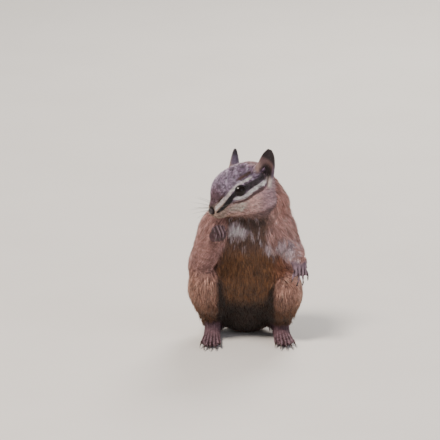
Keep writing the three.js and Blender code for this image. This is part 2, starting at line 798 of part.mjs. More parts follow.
add("chest", cut(chestBody, headTool), colours.torso);
add("abdomen", abdomenBody, colours.torso);
place("neck", neckSkin(0, 11, 20), neckClear, colours.torso);
place("ear_left", transformed(ear(1), headMatrix), null, colours.ear);
place("ear_right", transformed(ear(-1), headMatrix), null, colours.ear);
for (const side of ["right", "left"]) {
  const arm = arms[side];
  const leg = legs[side];
  place(`thigh_${side}`, leg.thigh, leg.thighClear, colours.limbs);
  place(`shank_${side}`, leg.shank, leg.shankClear, colours.limbs);
  place(`upper_arm_${side}`, arm.upper, arm.upperClear, colours.limbs);
  place(`forearm_${side}`, arm.fore, arm.foreClear, colours.limbs);
  place(`hand_${side}`, hands[side], null, colours.skin);
  place(`foot_${side}`, feet[side], null, colours.skin);
}
place("tail", tailBody, null, colours.tail);

// The origin is the middle of the underside of the whole model's box.
const bounds = new THREE.Box3().setFromObject(chipmunk);
const middle = bounds.getCenter(at(0, 0, 0));
for (const part of chipmunk.children) part.geometry.translate(-middle.x, -middle.y, -bounds.min.z);

export default chipmunk;
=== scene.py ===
# A chipmunk sitting up on its haunches, life size: one skin, its coat, the bushy tail, eyes, lids, nose,
# lips, claws and whiskers. Until a mesh is made, lengths are in mm, in the frame the body was laid out in.
import math

import bmesh
import bpy
import numpy as np
from mathutils import Matrix, Vector
from mathutils.bvhtree import BVHTree


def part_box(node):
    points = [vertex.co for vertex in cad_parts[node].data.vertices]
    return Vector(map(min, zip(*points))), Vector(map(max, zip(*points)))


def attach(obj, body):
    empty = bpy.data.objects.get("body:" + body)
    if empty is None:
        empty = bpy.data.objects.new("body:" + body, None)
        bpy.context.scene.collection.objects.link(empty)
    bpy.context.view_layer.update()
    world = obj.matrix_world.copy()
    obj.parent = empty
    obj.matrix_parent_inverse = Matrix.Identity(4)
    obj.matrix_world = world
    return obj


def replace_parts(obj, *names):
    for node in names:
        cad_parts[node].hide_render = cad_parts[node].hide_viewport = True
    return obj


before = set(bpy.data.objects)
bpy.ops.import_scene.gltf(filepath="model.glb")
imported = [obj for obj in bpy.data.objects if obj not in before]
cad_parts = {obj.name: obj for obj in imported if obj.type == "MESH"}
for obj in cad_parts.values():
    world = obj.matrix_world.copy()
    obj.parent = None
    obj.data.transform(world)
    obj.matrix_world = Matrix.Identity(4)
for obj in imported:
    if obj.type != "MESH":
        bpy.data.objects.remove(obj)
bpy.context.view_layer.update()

dice = np.random.default_rng(11)

# Places that the pose hangs from. +X is the animal's left, -Y its front, +Z up.
headPose = {"centre": (-2.8, -8, 63.6), "turn": -50, "nod": 12, "tilt": -8.5}
eyeSize = {
    "place": (6.1, -4.5, 2.3), "outward": (0.93, -0.32, 0.18), "ahead": (0, -1, -0.25), "radius": 3.0,
    "corneaRadius": 2.35, "corneaLift": 0.28, "halfLength": 2.25, "halfHeight": 1.9, "cornerDip": 0.3,
    "almond": 0.26,
}
noseCentre = (0, -16.1, -2.4)
pose = {
    "right": {
        "shoulder": (-11, -1.5, 46), "elbow": (-18.4, -3.4, 31.6), "wrist": (-11.8, -18.6, 46.4),
        "hip": (-12, 9, 15), "knee": (-16.6, -7, 24.5), "ankle": (-14.3, 0, 8.4),
        "heel": (-13.4, 6.6, 2.7), "toes": (-14.4, -15.6, 1.3),
    },
    "left": {
        "shoulder": (12.4, -1.5, 46), "elbow": (18.2, 2.6, 35), "wrist": (21.4, -12, 36.4),
        "hip": (12, 9, 15), "knee": (15.8, -8, 20.5), "ankle": (14.4, 1, 7.8),
        "heel": (13.6, 7.6, 2.7), "toes": (15.8, -14.4, 1.3),
    },
}
joints = {
    side: {name: np.array(place, float) for name, place in places.items()} for side, places in pose.items()
}
tailRoute = [
    (0.2, 15, 9.5), (0.6, 21, 6.6), (1.6, 30, 4.6), (4.2, 46, 4), (7, 64, 3.8), (7.4, 82, 3.6),
    (5.6, 92, 3.6),
]


# Small helpers.

def unit(vectors):
    vectors = np.asarray(vectors, float)
    return vectors / np.maximum(np.linalg.norm(vectors, axis=-1, keepdims=True), 1e-9)


def smoothStep(low, high, value):
    share = np.clip((value - low) / (high - low), 0, 1)
    return share * share * (3 - 2 * share)


def mix(a, b, share):
    return np.asarray(a) + (np.asarray(b) - np.asarray(a)) * share


def hexColour(text):  # an sRGB hex value as linear red, green and blue
    parts = np.array([int(text[place:place + 2], 16) / 255 for place in (0, 2, 4)])
    return np.where(parts <= 0.04045, parts / 12.92, ((parts + 0.055) / 1.055) ** 2.4)


def smoothPath(points, count):  # points along a curve that passes through the given ones
    points = np.asarray(points, float)
    ends = np.vstack([2 * points[0] - points[1], points, 2 * points[-1] - points[-2]])
    places = np.linspace(0, len(points) - 1, count)
    first = np.minimum(places.astype(int), len(points) - 2)
    t = (places - first)[:, None]
    a, b, c, d = (ends[first + step] for step in range(4))
    return 0.5 * (2 * b + (c - a) * t + (2 * a - 5 * b + 4 * c - d) * t**2 + (3 * b - a - 3 * c + d) * t**3)


def turned(vector, axis, angle):  # a vector turned about an axis, the angle in degrees
    return np.array(Matrix.Rotation(math.radians(angle), 3, Vector(axis)) @ Vector(vector))


def gapTo(points, place, scale=1):  # how far points are from a place, on axes that may be scaled
    return np.linalg.norm((points - np.asarray(place, float)) * scale, axis=1)


def laidAlong(ways, normals):  # ways turned to run along a surface
    return unit(ways - normals * np.sum(ways * normals, axis=1, keepdims=True))


headTurn = np.array(
    Matrix.Rotation(math.radians(headPose["turn"]), 3, "Z")
    @ Matrix.Rotation(math.radians(headPose["nod"]), 3, "X")
    @ Matrix.Rotation(math.radians(headPose["tilt"]), 3, "Y")
)


def inHead(points):  # from the head's own frame, nose towards -Y, to the body's
    return np.asarray(points, float) @ headTurn.T + np.array(headPose["centre"])


def toHead(points):
    return (np.asarray(points, float) - np.array(headPose["centre"])) @ headTurn


def eyeWays():  # outward, forward and upward at the left eye, in the head's frame
    outward, ahead = unit(eyeSize["outward"]), np.array(eyeSize["ahead"])
    forward = unit(ahead - outward * outward.dot(ahead))
    return outward, forward, np.cross(forward, outward)


def eyeShare(local):
    # How far points in the head's frame lie from the middle of an eye's opening, where 1 is at its edge, and
    # how far outward from the middle of the eyeball.
    local = np.abs(local * (1, 0, 0)) + local * (0, 1, 1)
    offset = local - np.array(eyeSize["place"])
    outward, forward, upward = eyeWays()
    ahead = offset @ forward / eyeSize["halfLength"]
    above = offset @ upward / eyeSize["halfHeight"] / (1 - eyeSize["almond"] * np.clip(ahead**2, 0, 1))
    return np.hypot(ahead, above), offset @ outward


def eyeFrame(side):  # an eye's middle and its outward, forward and upward ways, in the body's frame
    mirror = np.array((side, 1, 1))
    return inHead(np.array(eyeSize["place"]) * mirror), *((way * mirror) @ headTurn.T for way in eyeWays())


# The frame holds the left eye, which tells how the body's frame lies in the world.
eyeLow, eyeHigh = (np.array(corner) * 1000 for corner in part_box("eye_left"))
shift = (eyeLow + eyeHigh) / 2 - inHead(eyeSize["place"])
toWorld = Matrix.Translation(Vector(shift / 1000)) @ Matrix.Scale(0.001, 4)


def addNode(tree, kind, settings=None, links=None):  # one node, its settings, and what feeds its inputs
    node = tree.nodes.new(kind)
    for name, value in (settings or {}).items():
        if name in node.inputs.keys():
            node.inputs[name].default_value = value
        else:
            setattr(node, name, value)
    for name, source in (links or {}).items():
        tree.links.new(source, node.inputs[name])
    return node


def newMaterial(name):
    material = bpy.data.materials.new(name)
    material.use_nodes = True
    material.node_tree.nodes.clear()
    return material, material.node_tree


def finishMaterial(tree, settings, links):  # the surface, and the output that closes a material
    shader = addNode(tree, "ShaderNodeBsdfPrincipled", settings, links)
    addNode(tree, "ShaderNodeOutputMaterial", links={"Surface": shader.outputs["BSDF"]})


def addPattern(tree, kind, settings):  # a texture that follows the piece's own place
    place = addNode(tree, "ShaderNodeTexCoord")
    return addNode(tree, "ShaderNodeTex" + kind, settings, {"Vector": place.outputs["Object"]})


def twoTones(tree, tones, factor):  # one colour mixed into another
    colours = {name: (*hexColour(tone), 1) for name, tone in zip("AB", tones)}
    node = addNode(tree, "ShaderNodeMix", {"data_type": "RGBA", **colours}, {"Factor": factor})
    return node.outputs["Result"]


def mingledMaterial(name, noise, tones, settings):  # two tones that mingle in fine noise
    material, tree = newMaterial(name)
    grain = addPattern(tree, "Noise", noise)
    finishMaterial(tree, settings, {"Base Color": twoTones(tree, tones, grain.outputs["Fac"])})
    return material


def addObject(name, data):
    thing = bpy.data.objects.new(name, data)
    bpy.context.scene.collection.objects.link(thing)
    return thing


def asMesh(shape, name):  # what a bmesh holds, as a mesh
    mesh = bpy.data.meshes.new(name)
    shape.to_mesh(mesh)
    shape.free()
    return mesh


def voxelObject(shape, name, voxel):  # a helper object that remakes a bmesh from voxels of this size
    thing = addObject(name, asMesh(shape, name))
    remesh = thing.modifiers.new("Remesh", "REMESH")
    remesh.mode = "VOXEL"
    remesh.voxel_size = voxel
    return thing


def finalMesh(thing):  # a helper object's mesh with its modifiers applied, which takes the object's place
    mesh = bpy.data.meshes.new_from_object(thing.evaluated_get(bpy.context.evaluated_depsgraph_get()))
    bpy.data.objects.remove(thing)
    return mesh


def showPiece(mesh, name, material):  # a finished mesh, in metres, as a piece of the model
    piece = addObject(name, mesh)
    mesh.materials.clear()
    mesh.materials.append(material)
    mesh.shade_smooth()
    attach(piece, "root")
    return piece


def finishPiece(shape, name, material):  # a bmesh in mm becomes a piece
    bmesh.ops.remove_doubles(shape, verts=shape.verts, dist=1e-5)
    bmesh.ops.recalc_face_normals(shape, faces=shape.faces)
    mesh = asMesh(shape, name)
    mesh.transform(toWorld)
    return showPiece(mesh, name, material)


def aboveFloor(points, clearance):
    points[..., 2] = np.maximum(points[..., 2], clearance - shift[2])


def edgesOf(verts):
    return list({edge for vert in verts for edge in vert.link_edges})


def addSweep(shape, path, sizes, sides, flatTo, closedRing=False):
    # Rings of verts along a path, joined: sizes gives the half width and half thickness at each point, and
    # flatTo the direction of the thickness. The ends are closed, unless the path is a ring.
    path = np.asarray(path, float)
    if closedRing:
        tangents = unit(np.roll(path, -1, 0) - np.roll(path, 1, 0))
    else:
        tangents = unit(np.gradient(path, axis=0))
    flatTo = np.broadcast_to(np.asarray(flatTo, float), path.shape)
    loops = []
    for centre, tangent, flat, (width, thickness) in zip(path, tangents, flatTo, sizes):
        normal = unit(flat - tangent * flat.dot(tangent))
        across = np.cross(tangent, normal)
        ring = bmesh.ops.create_circle(shape, segments=sides, radius=1)["verts"]
        for vert in ring:
            vert.co = Vector(centre + across * vert.co.x * width + normal * vert.co.y * thickness)
        loops.append(edgesOf(ring))
    for near, far in zip(loops, loops[1:]):
        bmesh.ops.bridge_loops(shape, edges=near + far)
    if closedRing:
        bmesh.ops.bridge_loops(shape, edges=loops[-1] + loops[0])
    else:
        bmesh.ops.contextual_create(shape, geom=loops[0])
        bmesh.ops.contextual_create(shape, geom=loops[-1])


# Skin. Copies of the flesh solids are swollen where they meet, joined with rods through the joints and a thin
# core in the tail, and remeshed into one body, which then sinks to the depth of the coat.

skinPlan = {
    "voxel": 0.3, "swell": 0.8, "meet": 2.2, "search": 3, "plump": 0.5, "clearance": 0.12, "most": 190000,
    "lidFold": {"halfLength": 2.8, "halfHeight": 2.35, "reach": 3.0, "radius": 0.62},
    "tailCore": (3.1, 1.2), "tailFrom": 18, "tailReach": 4.5, "shortRounds": 6, "longRounds": 90,
    "limbRods": [
        ("shoulder", "elbow", (5, 3.6)), ("elbow", "wrist", (3.4, 1.7)), ("hip", "knee", (6, 4)),
        ("knee", "ankle", (3.4, 2.4)), ("ankle", "heel", (2, 2)),
    ],
}
fleshNames = ["head", "chest", "abdomen", "neck", "ear_left", "ear_right"] + [
    f"{part}_{side}"
    for side in ("right", "left")
    for part in ("thigh", "shank", "upper_arm", "forearm", "hand", "foot")
]
# What grows on each part: the coat's depth, the tufts' length and width in mm, how many stand on a square mm,
# how strongly the faceted solid under them is smoothed, and how much their tips differ in tone.
growthColumns = ("depth", "length", "width", "density", "smooth", "contrast")
growth = {
    "head": (0.75, 1.9, 0.17, 21, 0.2, 1.5),
    "neck": (1.9, 4.2, 0.26, 11.5, 1, 1.1),
    "chest": (2.0, 4.4, 0.27, 10, 1, 1.0),
    "abdomen": (2.0, 4.8, 0.28, 8.8, 1, 1.0),
    "thigh": (1.9, 4.6, 0.27, 10, 1, 1.0),
    "shank": (1.0, 2.6, 0.21, 11, 0.75, 0.7),
    "upper_arm": (1.6, 3.8, 0.24, 10.5, 1, 1.0),
    "forearm": (0.9, 2.6, 0.2, 12, 0.65, 0.75),
    "hand": (0.08, 0.9, 0.08, 15, 0, 0.7),
    "foot": (0.1, 1.3, 0.09, 16, 0, 0.7),
    "ear": (0.02, 1.0, 0.13, 10, 0.05, 0.5),
    "tail": (0, 1, 0.1, 0, 0.3, 0),
}
# The head's coat is finest at the nose and longest at the nape: the values at both, and how late they change.
# Its tips differ more on the crown than on the cheeks, and it is shorter round the eyes.
headCoat = {
    "depth": (0.38, 1.25, 1.3), "length": (0.8, 2.8, 1.2), "width": (0.15, 0.22, 1), "contrast": (0.85, 1.5),
    "eyeGap": (6.0, 3.6), "eyeDepth": 0.3, "eyeLength": 0.8,
}


def bareName(node):
    return node.replace("_left", "").replace("_right", "")


def nodeShape(name):  # a merged copy of a CAD node's mesh, in the body's frame in mm
    shape = bmesh.new()
    shape.from_mesh(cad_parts[name].data)
    bmesh.ops.remove_doubles(shape, verts=shape.verts, dist=2e-6)
    shape.transform(toWorld.inverted())
    shape.normal_update()
    return shape


def readArray(data, attribute, width, kind=float):  # one attribute of a mesh's elements, as rows
    values = np.empty(len(data) * width, kind)
    data.foreach_get(attribute, values)
    return values.reshape(-1, width)


class Neighbours:  # averages over the neighbours of each vertex
    def __init__(self, count, edges):
        self.count = count
        self.starts = np.concatenate([edges[:, 0], edges[:, 1]])
        self.ends = np.concatenate([edges[:, 1], edges[:, 0]])
        self.degree = np.maximum(np.bincount(self.starts, minlength=count), 1)

    def mean(self, values):
        columns = values.reshape(self.count, -1).T
        summed = [np.bincount(self.starts, column[self.ends], self.count) for column in columns]
        return (np.array(summed) / self.degree).T.reshape(values.shape)

    def spread(self, values, rounds, strength=1.0):
        for _ in range(rounds):
            values = values + (self.mean(values) - values) * strength
        return values


def addRods(shape):  # rods inside the flesh, which fill the seams between the solids
    for joint in joints.values():
        for start, end, sizes in skinPlan["limbRods"]:
            radii = np.linspace(*sizes, 6)
            path = np.linspace(joint[start], joint[end], 6)
            addSweep(shape, path, np.outer(radii, (1, 1)), 12, (0.3, 1, 0.2))
    elbow, knee = joints["right"]["elbow"], joints["right"]["knee"]
    inner = [
        (elbow + (0.4, 0, 1), knee + (0, 0.6, -1), 4, 5.2), ((0, 6, 20), (0.6, 2, 50), 6, 9),
        ((2, 2, 49), inHead((0, 7, -1)), 6, 7), ((0, 7, 14), (-12, 8, 16), 4, 7),
        ((0, 7, 14), (12, 8, 16), 4, 7),
    ]
    for start, end, count, radius in inner:
        addSweep(shape, np.linspace(start, end, count), [(radius, radius)] * count, 16, (0, 1, 0.1))
    radii = np.linspace(*skinPlan["tailCore"], 40)
    addSweep(shape, smoothPath(tailRoute, 40), np.outer(radii, (1.15, 0.85)), 14, (0, 0, 1))
    # A soft fold round each eye closes its socket up to the lids.
    fold = skinPlan["lidFold"]
    turn = np.linspace(0, 2 * math.pi, 36, endpoint=False)[:, None]
    for side in (1, -1):
        centre, outward, forward, upward = eyeFrame(side)
        rim = forward * fold["halfLength"] * np.cos(turn) + upward * fold["halfHeight"] * np.sin(turn)
        lift = np.sqrt(fold["reach"] ** 2 - np.sum(rim * rim, axis=1, keepdims=True))
        path = centre + rim + outward * lift
        addSweep(shape, path, [(fold["radius"], fold["radius"])] * 36, 10, outward, closedRing=True)


def makeSkin():  # the body's mesh, and which flesh solid owns each face of the tree over all of them
    shapes = {name: nodeShape(name) for name in fleshNames}
    trees = {name: BVHTree.FromBMesh(shape) for name, shape in shapes.items()}
    joined = bmesh.new()
    owners = []
    search, meet = skinPlan["search"], skinPlan["meet"]
    for number, (name, shape) in enumerate(shapes.items()):
        others = [trees[other] for other in fleshNames if other != name]
        for vert in shape.verts:
            gap = min(tree.find_nearest(vert.co, search)[3] or search for tree in others)
            vert.co += vert.normal * skinPlan["swell"] * float(smoothStep(meet, 0.5 * meet, gap))
        owners += [number] * len(shape.faces)
        mesh = asMesh(shape, name + "_flesh")
        joined.from_mesh(mesh)
        bpy.data.meshes.remove(mesh)
    tree = BVHTree.FromBMesh(joined)
    addRods(joined)
    bmesh.ops.recalc_face_normals(joined, faces=joined.faces)
    return finalMesh(voxelObject(joined, "skin", skinPlan["voxel"])), tree, np.array(owners)


skinMesh, fleshTree, faceOwners = makeSkin()
print("skin remeshed:", len(skinMesh.vertices), "points")


def labelSkin(points):  # the part that each point of the skin belongs to
    labels = faceOwners[[fleshTree.find_nearest(Vector(point))[2] for point in points]]
    tailGap = np.min([gapTo(points, place) for place in smoothPath(tailRoute, 60)[8:]], axis=0)
    labels[(points[:, 1] > skinPlan["tailFrom"]) & (tailGap < skinPlan["tailReach"])] = len(fleshNames)
    return labels


skinPoints = readArray(skinMesh.vertices, "co", 3)
skinLabels = labelSkin(skinPoints)
around = Neighbours(len(skinPoints), readArray(skinMesh.edges, "vertices", 2, int))
regionOf = [bareName(name) for name in fleshNames] + ["tail"]
pointRegion = np.array(regionOf)[skinLabels]


def fieldOf(key, rounds):  # a value of the growth table, smoothed over the skin
    column = growthColumns.index(key)
    values = np.array([growth[region][column] for region in regionOf], float)[skinLabels]
    return around.spread(values, rounds)


def smoothSkin(points):
    # Short smoothing takes the voxels' steps away. Long smoothing melts the facets of the body.
    strength = fieldOf("smooth", 12)[:, None]
    points = around.spread(points, skinPlan["shortRounds"], np.clip(0.35 + strength, 0, 0.9))
    return around.spread(points, skinPlan["longRounds"], 0.9 * np.clip(strength, 0, 1) ** 1.5)


def moveSkin(points, rounds):  # puts the skin's points there, and gives its normals, smoothed
    skinMesh.vertices.foreach_set("co", points.ravel())
    skinMesh.update()
    return unit(around.spread(readArray(skinMesh.vertex_normals, "vector", 3), rounds))


outerPoints = smoothSkin(skinPoints)
outerNormals = moveSkin(outerPoints, 4)
# Smoothing draws the body in a little, which is given back.
outerPoints = outerPoints + outerNormals * skinPlan["plump"] * fieldOf("smooth", 12)[:, None]


# Fingers and toes, in mm and in the body's frame.

digitPlan = {
    "hand": {"palmLength": 4.9, "palmHalfWidth": 2.7, "fingers": (2.6, 2, 1.6), "fingerHalfWidth": 0.55,
             "sizes": (0.82, 1, 0.98, 0.8), "claw": 1.4, "thumbClaw": 0.6},
    "foot": {"halfWidth": 2.7, "toes": (3, 2.5, 2), "sizes": (0.74, 0.97, 1, 0.97, 0.74), "claw": 1.8,
             "spread": 0.24},
    "grips": {
        "right": {"offset": (0, -0.6, 0.6), "along": (0.1, -0.45, 0.85), "palm": (0.35, -0.75, -0.4),
                  "bends": (55, 70, 45), "spread": 0.1},
        "left": {"offset": (0, -0.4, -0.6), "along": (0.15, -0.35, -0.9), "palm": (-0.3, 0.9, -0.35),
                 "bends": (4, 22, 26), "spread": 0.3},
    },
    "handsAbove": 14, "groove": 0.42, "clawRadius": 0.36, "clawTip": 0.03,
}


def digitRidges(points):  # 1 along each finger and toe, falling to 0 between them, and how far along the paw
    ridge, front = np.ones(len(points)), np.zeros(len(points))
    hand, foot = digitPlan["hand"], digitPlan["foot"]
    high = points[:, 2] > digitPlan["handsAbove"]
    for side, joint in joints.items():
        own = (points[:, 0] > 0) == (side == "left")
        grip = digitPlan["grips"][side]
        heading = unit(grip["along"])
        across = unit(np.cross(heading, grip["palm"]))
        here = own & high
        offset = points[here] - joint["wrist"] - grip["offset"]
        spacing = (hand["palmHalfWidth"] - hand["fingerHalfWidth"]) / 1.5
        ridge[here] = 0.5 - 0.5 * np.cos(offset @ across / spacing * 2 * math.pi)
        front[here] = smoothStep(2.6, 4.4, offset @ heading)
        here = own & ~high
        ahead = unit((joint["toes"] - joint["heel"]) * (1, 1, 0))
        offset = points[here] - joint["toes"]
        spacing = foot["halfWidth"] / 2 * mix(0.72, 1.06, smoothStep(-11, 1.5, offset @ ahead))
        ridge[here] = 0.5 + 0.5 * np.cos(offset @ np.array((-ahead[1], ahead[0], 0)) / spacing * 2 * math.pi)
        front[here] = smoothStep(-9, -1.5, offset @ ahead)
    return ridge, front


onPaw = around.spread(np.isin(pointRegion, ("hand", "foot")).astype(float), 3)
digitRidge, pawFront = digitRidges(outerPoints)
digitGroove = around.spread(onPaw * pawFront * smoothStep(0.55, 0.05, digitRidge), 1)
outerPoints = outerPoints - outerNormals * digitPlan["groove"] * digitGroove[:, None]

onHead = pointRegion == "head"
headLocal = toHead(outerPoints)
backShare = smoothStep(-15, 9, headLocal[:, 1])
eyeGap = np.min([gapTo(headLocal, np.array(eyeSize["place"]) * (side, 1, 1)) for side in (1, -1)], axis=0)
nearEye = smoothStep(*headCoat["eyeGap"], eyeGap) * onHead


def coatField(key, rounds):  # a value of the coat, which on the head changes from the nose to the nape
    atNose, atNape, power = headCoat[key]
    return np.where(onHead, mix(atNose, atNape, backShare**power), fieldOf(key, rounds))


coatDepth = around.spread(mix(coatField("depth", 14), headCoat["eyeDepth"], nearEye), 6)
tuftLength = around.spread(mix(coatField("length", 10), headCoat["eyeLength"], nearEye), 6)
tuftWidth = coatField("width", 6)
tuftDensity = fieldOf("density", 3)
headContrast = mix(*headCoat["contrast"], smoothStep(-1, 3, headLocal[:, 2]))
tuftContrast = np.where(onHead, headContrast, fieldOf("contrast", 8))

sunkPoints = outerPoints - outerNormals * coatDepth[:, None]
sunkPoints = around.spread(sunkPoints, 3, 0.5 * fieldOf("smooth", 6)[:, None])
aboveFloor(sunkPoints, skinPlan["clearance"])
skinNormals = moveSkin(sunkPoints, 3)
print("skin sunk to the depth of the coat")


# Markings, with painted shade and painted highlights among them.

# Some tones stand for light: the shade under the belly and between the legs, the jaw's shadow, the shade in
# the ears' hollows and the paws' grooves, and the highlights along the paws' ridges are painted, and the
# throat is painted lighter where the head shades it.
coatColours = {name: hexColour(text) for name, text in {
    "crown": "7b667c", "crownDark": "3c2f33", "crownLight": "c0afc6", "dorsalMuzzle": "685059",
    "muzzleSide": "b8a492", "white": "f6ebea", "upperWhite": "efdfda", "dark": "1d1517", "darkRear": "2c2125",
    "russet": "43271f", "underLine": "523836", "cheek": "d8ada6", "cheekBack": "bc989d", "peach": "f8ddcf",
    "chin": "b79483", "jaw": "503a33", "throat": "f2e0ec", "flank": "a06f59", "shoulder": "b58b85",
    "neck": "b7877f", "thigh": "b08576", "thighLow": "684832", "belly": "6f4d33", "bellyLow": "2f1e14",
    "chest": "61493f", "chestLight": "cdbcc6", "rump": "7b7069", "paleStripe": "c9bcae",
    "brownStripe": "7a5844", "backDark": "2a211e", "paw": "54393f", "pawHair": "7c5f66",
    "pawStreak": "b39aa6", "fist": "301f20", "handLight": "a794a6", "earBack": "665a6e",
    "earInside": "7b605f", "earHollow": "1d1314", "earRim": "a88c84", "earBase": "cdbdb9",
    "earTip": "272125", "tailRoot": "8d6440", "noseSkin": "2e2224",
}.items()}
# Each stripe of the head: its colour, its strength, and its route in the head's frame with the half width in
# mm. The other side of the head mirrors it.
headStripes = [
    ("russet", 0.95, [
        (3.0, -13.0, 0.9, 0.4), (4.2, -10.7, 2.8, 0.55), (5.5, -7.9, 5.0, 0.65), (6.1, -4.5, 6.4, 0.7),
        (6.5, -1.9, 6.9, 0.75), (6.8, 2.0, 7.4, 0.65), (6.5, 5.0, 7.6, 0.5),
    ]),
    ("upperWhite", 0.95, [
        (2.6, -15.9, -1.7, 0.7), (3.3, -13.6, -0.6, 0.75), (4.5, -11.4, 0.9, 0.75), (5.5, -10.1, 1.9, 0.7),
        (6.2, -8.9, 3.0, 0.7), (6.7, -7.6, 4.0, 0.6),
    ]),
    ("white", 1.0, [
        (6.5, -8.2, 3.6, 0.7), (7.1, -5.9, 4.7, 0.75), (7.3, -3.9, 5.1, 0.75), (7.6, -1.3, 5.4, 0.7),
        (7.9, 0.7, 5.6, 0.6), (7.9, 3.4, 6.0, 0.4),
    ]),
    ("dark", 1.0, [
        (3.0, -15.8, -3.4, 0.45), (4.3, -13.2, -2.3, 0.8), (5.5, -10.6, -0.7, 1.05), (6.4, -9.3, 0.6, 1.15),
        (7.3, -7.7, 2.0, 0.95), (8.2, -5.4, 2.7, 1.1),
    ]),
    ("darkRear", 0.95, [
        (8.4, -3.4, 2.9, 1.25), (8.8, -1.5, 3.0, 1.3), (9.0, 0.7, 3.2, 1.25), (9.3, 4.2, 3.6, 1.1),
        (9.0, 6.4, 3.9, 0.8),
    ]),
    ("white", 1.0, [
        (6.9, -8.2, 0.2, 0.4), (7.6, -7.0, 0.0, 0.7), (8.1, -5.7, -0.3, 0.85), (8.6, -3.4, -0.3, 1.0),
        (9.1, -1.6, 0.4, 0.85), (9.6, 2.3, 1.3, 0.75), (9.5, 6.4, 1.9, 0.75), (9.2, 9.2, 2.4, 0.8),
    ]),
    ("underLine", 0.9, [
        (6.2, -8.6, -1.6, 0.3), (7.2, -6.6, -1.8, 0.45), (8.0, -4.6, -2.0, 0.5), (8.9, -2.5, -1.7, 0.6),
        (9.9, 1.3, -0.6, 0.7), (10.1, 5.5, -0.1, 0.7), (9.3, 9.5, 0.2, 0.6),
    ]),
]


def stripeShare(points, route, soft=0.22):  # 1 on the stripe, falling to 0 beside it
    route = smoothPath(route, 20)
    best = np.zeros(len(points))
    for start, end in zip(route[:-1], route[1:]):
        along = end[:3] - start[:3]
        share = np.clip((points - start[:3]) @ along / along.dot(along), 0, 1)
        gap = np.linalg.norm(points - start[:3] - share[:, None] * along, axis=1)
        half = mix(start[3], end[3], share)
        best = np.maximum(best, smoothStep(half + soft, half - soft, gap))
    return best


def slowNoise(points, size, seed):  # smooth noise of about -1 to 1, with waves of this size in mm
    maker = np.random.default_rng(seed)
    total = np.zeros(len(points))
    for _ in range(7):
        wave = unit(maker.normal(size=3)) * 2 * math.pi / size * maker.uniform(0.6, 1.5)
        total += np.sin(points @ wave + maker.uniform(0, 2 * math.pi))
    return total / 3


def painted(points, ground, layers):  # the ground colour with each layer laid over it by its share
    colour = np.tile(coatColours[ground], (len(points), 1))
    for name, share in layers:
        colour = mix(colour, coatColours[name], np.clip(share, 0, 1)[:, None])
    return colour


def ovalGap(across, up, middle, half):  # 0 in the middle of an oval, 1 on its outline
    return np.hypot((across - middle[0]) / half[0], (up - middle[1]) / half[1])


def headMarkings(points):
    local = toHead(points)
    local[:, 0] = np.abs(local[:, 0])
    side, back, up = local.T
    flecks = points * (1, 0.6, 1)
    # The crown's grey runs out into the brown of the nape.
    nape = smoothStep(3.5, 10.5, back + 0.8 * slowNoise(points, 3, 37)) * smoothStep(9.5, 6.5, side)
    below = smoothStep(0.6, -1.4, up - 0.1 * back)
    peach = gapTo(local, (6.4, -7.0, -4.2), (0.55, 0.42, 0.95))
    peach = peach + 0.35 * slowNoise(points * (0.5, 0.5, 1.6), 2.4, 39)
    muzzle = smoothStep(-9.5, -12.5, back) * smoothStep(1.0, -0.8, up - 0.45 * (back + 14))
    openingShare, lift = eyeShare(local)
    behindEar = gapTo(local, (10.6, 9.0, 2.8)) + 0.3 * slowNoise(points, 1.8, 35)
    return painted(points, "crown", [
        ("crownDark", 0.75 * smoothStep(0.25, 0.75, slowNoise(flecks, 1.8, 31))),
        ("crownLight", 0.7 * smoothStep(0.35, 0.8, slowNoise(flecks, 1.5, 33))),
        ("crownLight", 0.28 * smoothStep(-1, -7, back) * smoothStep(-13.5, -10, back)),
        ("dorsalMuzzle", smoothStep(-9.5, -13, back)),
        ("shoulder", 0.75 * nape),
        ("cheek", below),
        ("cheekBack", below * smoothStep(-1, 6, back)),
        ("peach", 0.95 * smoothStep(2.6, 0.9, peach)),
        ("chin", smoothStep(-5.6, -7.0, up) * smoothStep(-4, -9, back)),
        # Painted shadow under the jaw.
        ("jaw", 0.7 * smoothStep(-7.8, -9.6, up) * smoothStep(-8, -3, back)),
        ("muzzleSide", 0.7 * muzzle),
        *((name, strength * stripeShare(local, route)) for name, strength, route in headStripes),
        ("dark", 0.9 * smoothStep(1.26, 1.12, openingShare) * smoothStep(0, 0.5, lift)),
        # Painted shade in the hollow at the root of the ear.
        ("earHollow", 0.95 * smoothStep(1.9, 0.9, gapTo(local, (8.6, 8.0, 4.6), (0.8, 0.8, 0.6)))),
        ("earBase", 0.9 * smoothStep(2.1, 0.9, behindEar)),
        ("noseSkin", 0.9 * smoothStep(2.5, 1.6, gapTo(local, noseCentre))),
    ])


# Across the back from its middle line: each stripe's place and half width in mm, and its colour.
backStripes = [
    (0, 1.35, "backDark"), (2.7, 1.25, "paleStripe"), (5.4, 1.35, "backDark"), (8.1, 1.3, "paleStripe"),
    (10.8, 1.35, "brownStripe"),
]


def backLayers(points):
    # The stripes of the back run from the nape to the rump, beside a middle line that turns with the neck.
    x, y, z = points.T
    height = np.clip(z, 6, 66)
    middle = mix(0.3, 4.6, smoothStep(44, 62, height))
    axisY = mix(4, 2, smoothStep(20, 50, height))
    turn = np.degrees(np.arctan2(x - middle, y - axisY + 2)) - mix(0, 20, smoothStep(46, 62, height))
    radius = mix(15.5, 9.5, smoothStep(30, 62, height))
    aside = np.abs(np.radians(turn) * radius)
    aside = aside + 0.35 * slowNoise(points, 9, 5) + 0.22 * slowNoise(points, 2.4, 7)
    onBack = smoothStep(7, 13, z) * smoothStep(68, 58, z) * smoothStep(110, 80, np.abs(turn))
    onBack = onBack * mix(1, smoothStep(1, 6, y), smoothStep(42, 50, z))
    yield "flank", onBack * smoothStep(17, 13.5, aside)
    for place, half, name in backStripes:
        yield name, 0.92 * onBack * smoothStep(half + 0.35, half - 0.35, np.abs(aside - place))
    yield "rump", 0.6 * (smoothStep(16, 9, z) * smoothStep(8, 16, y))


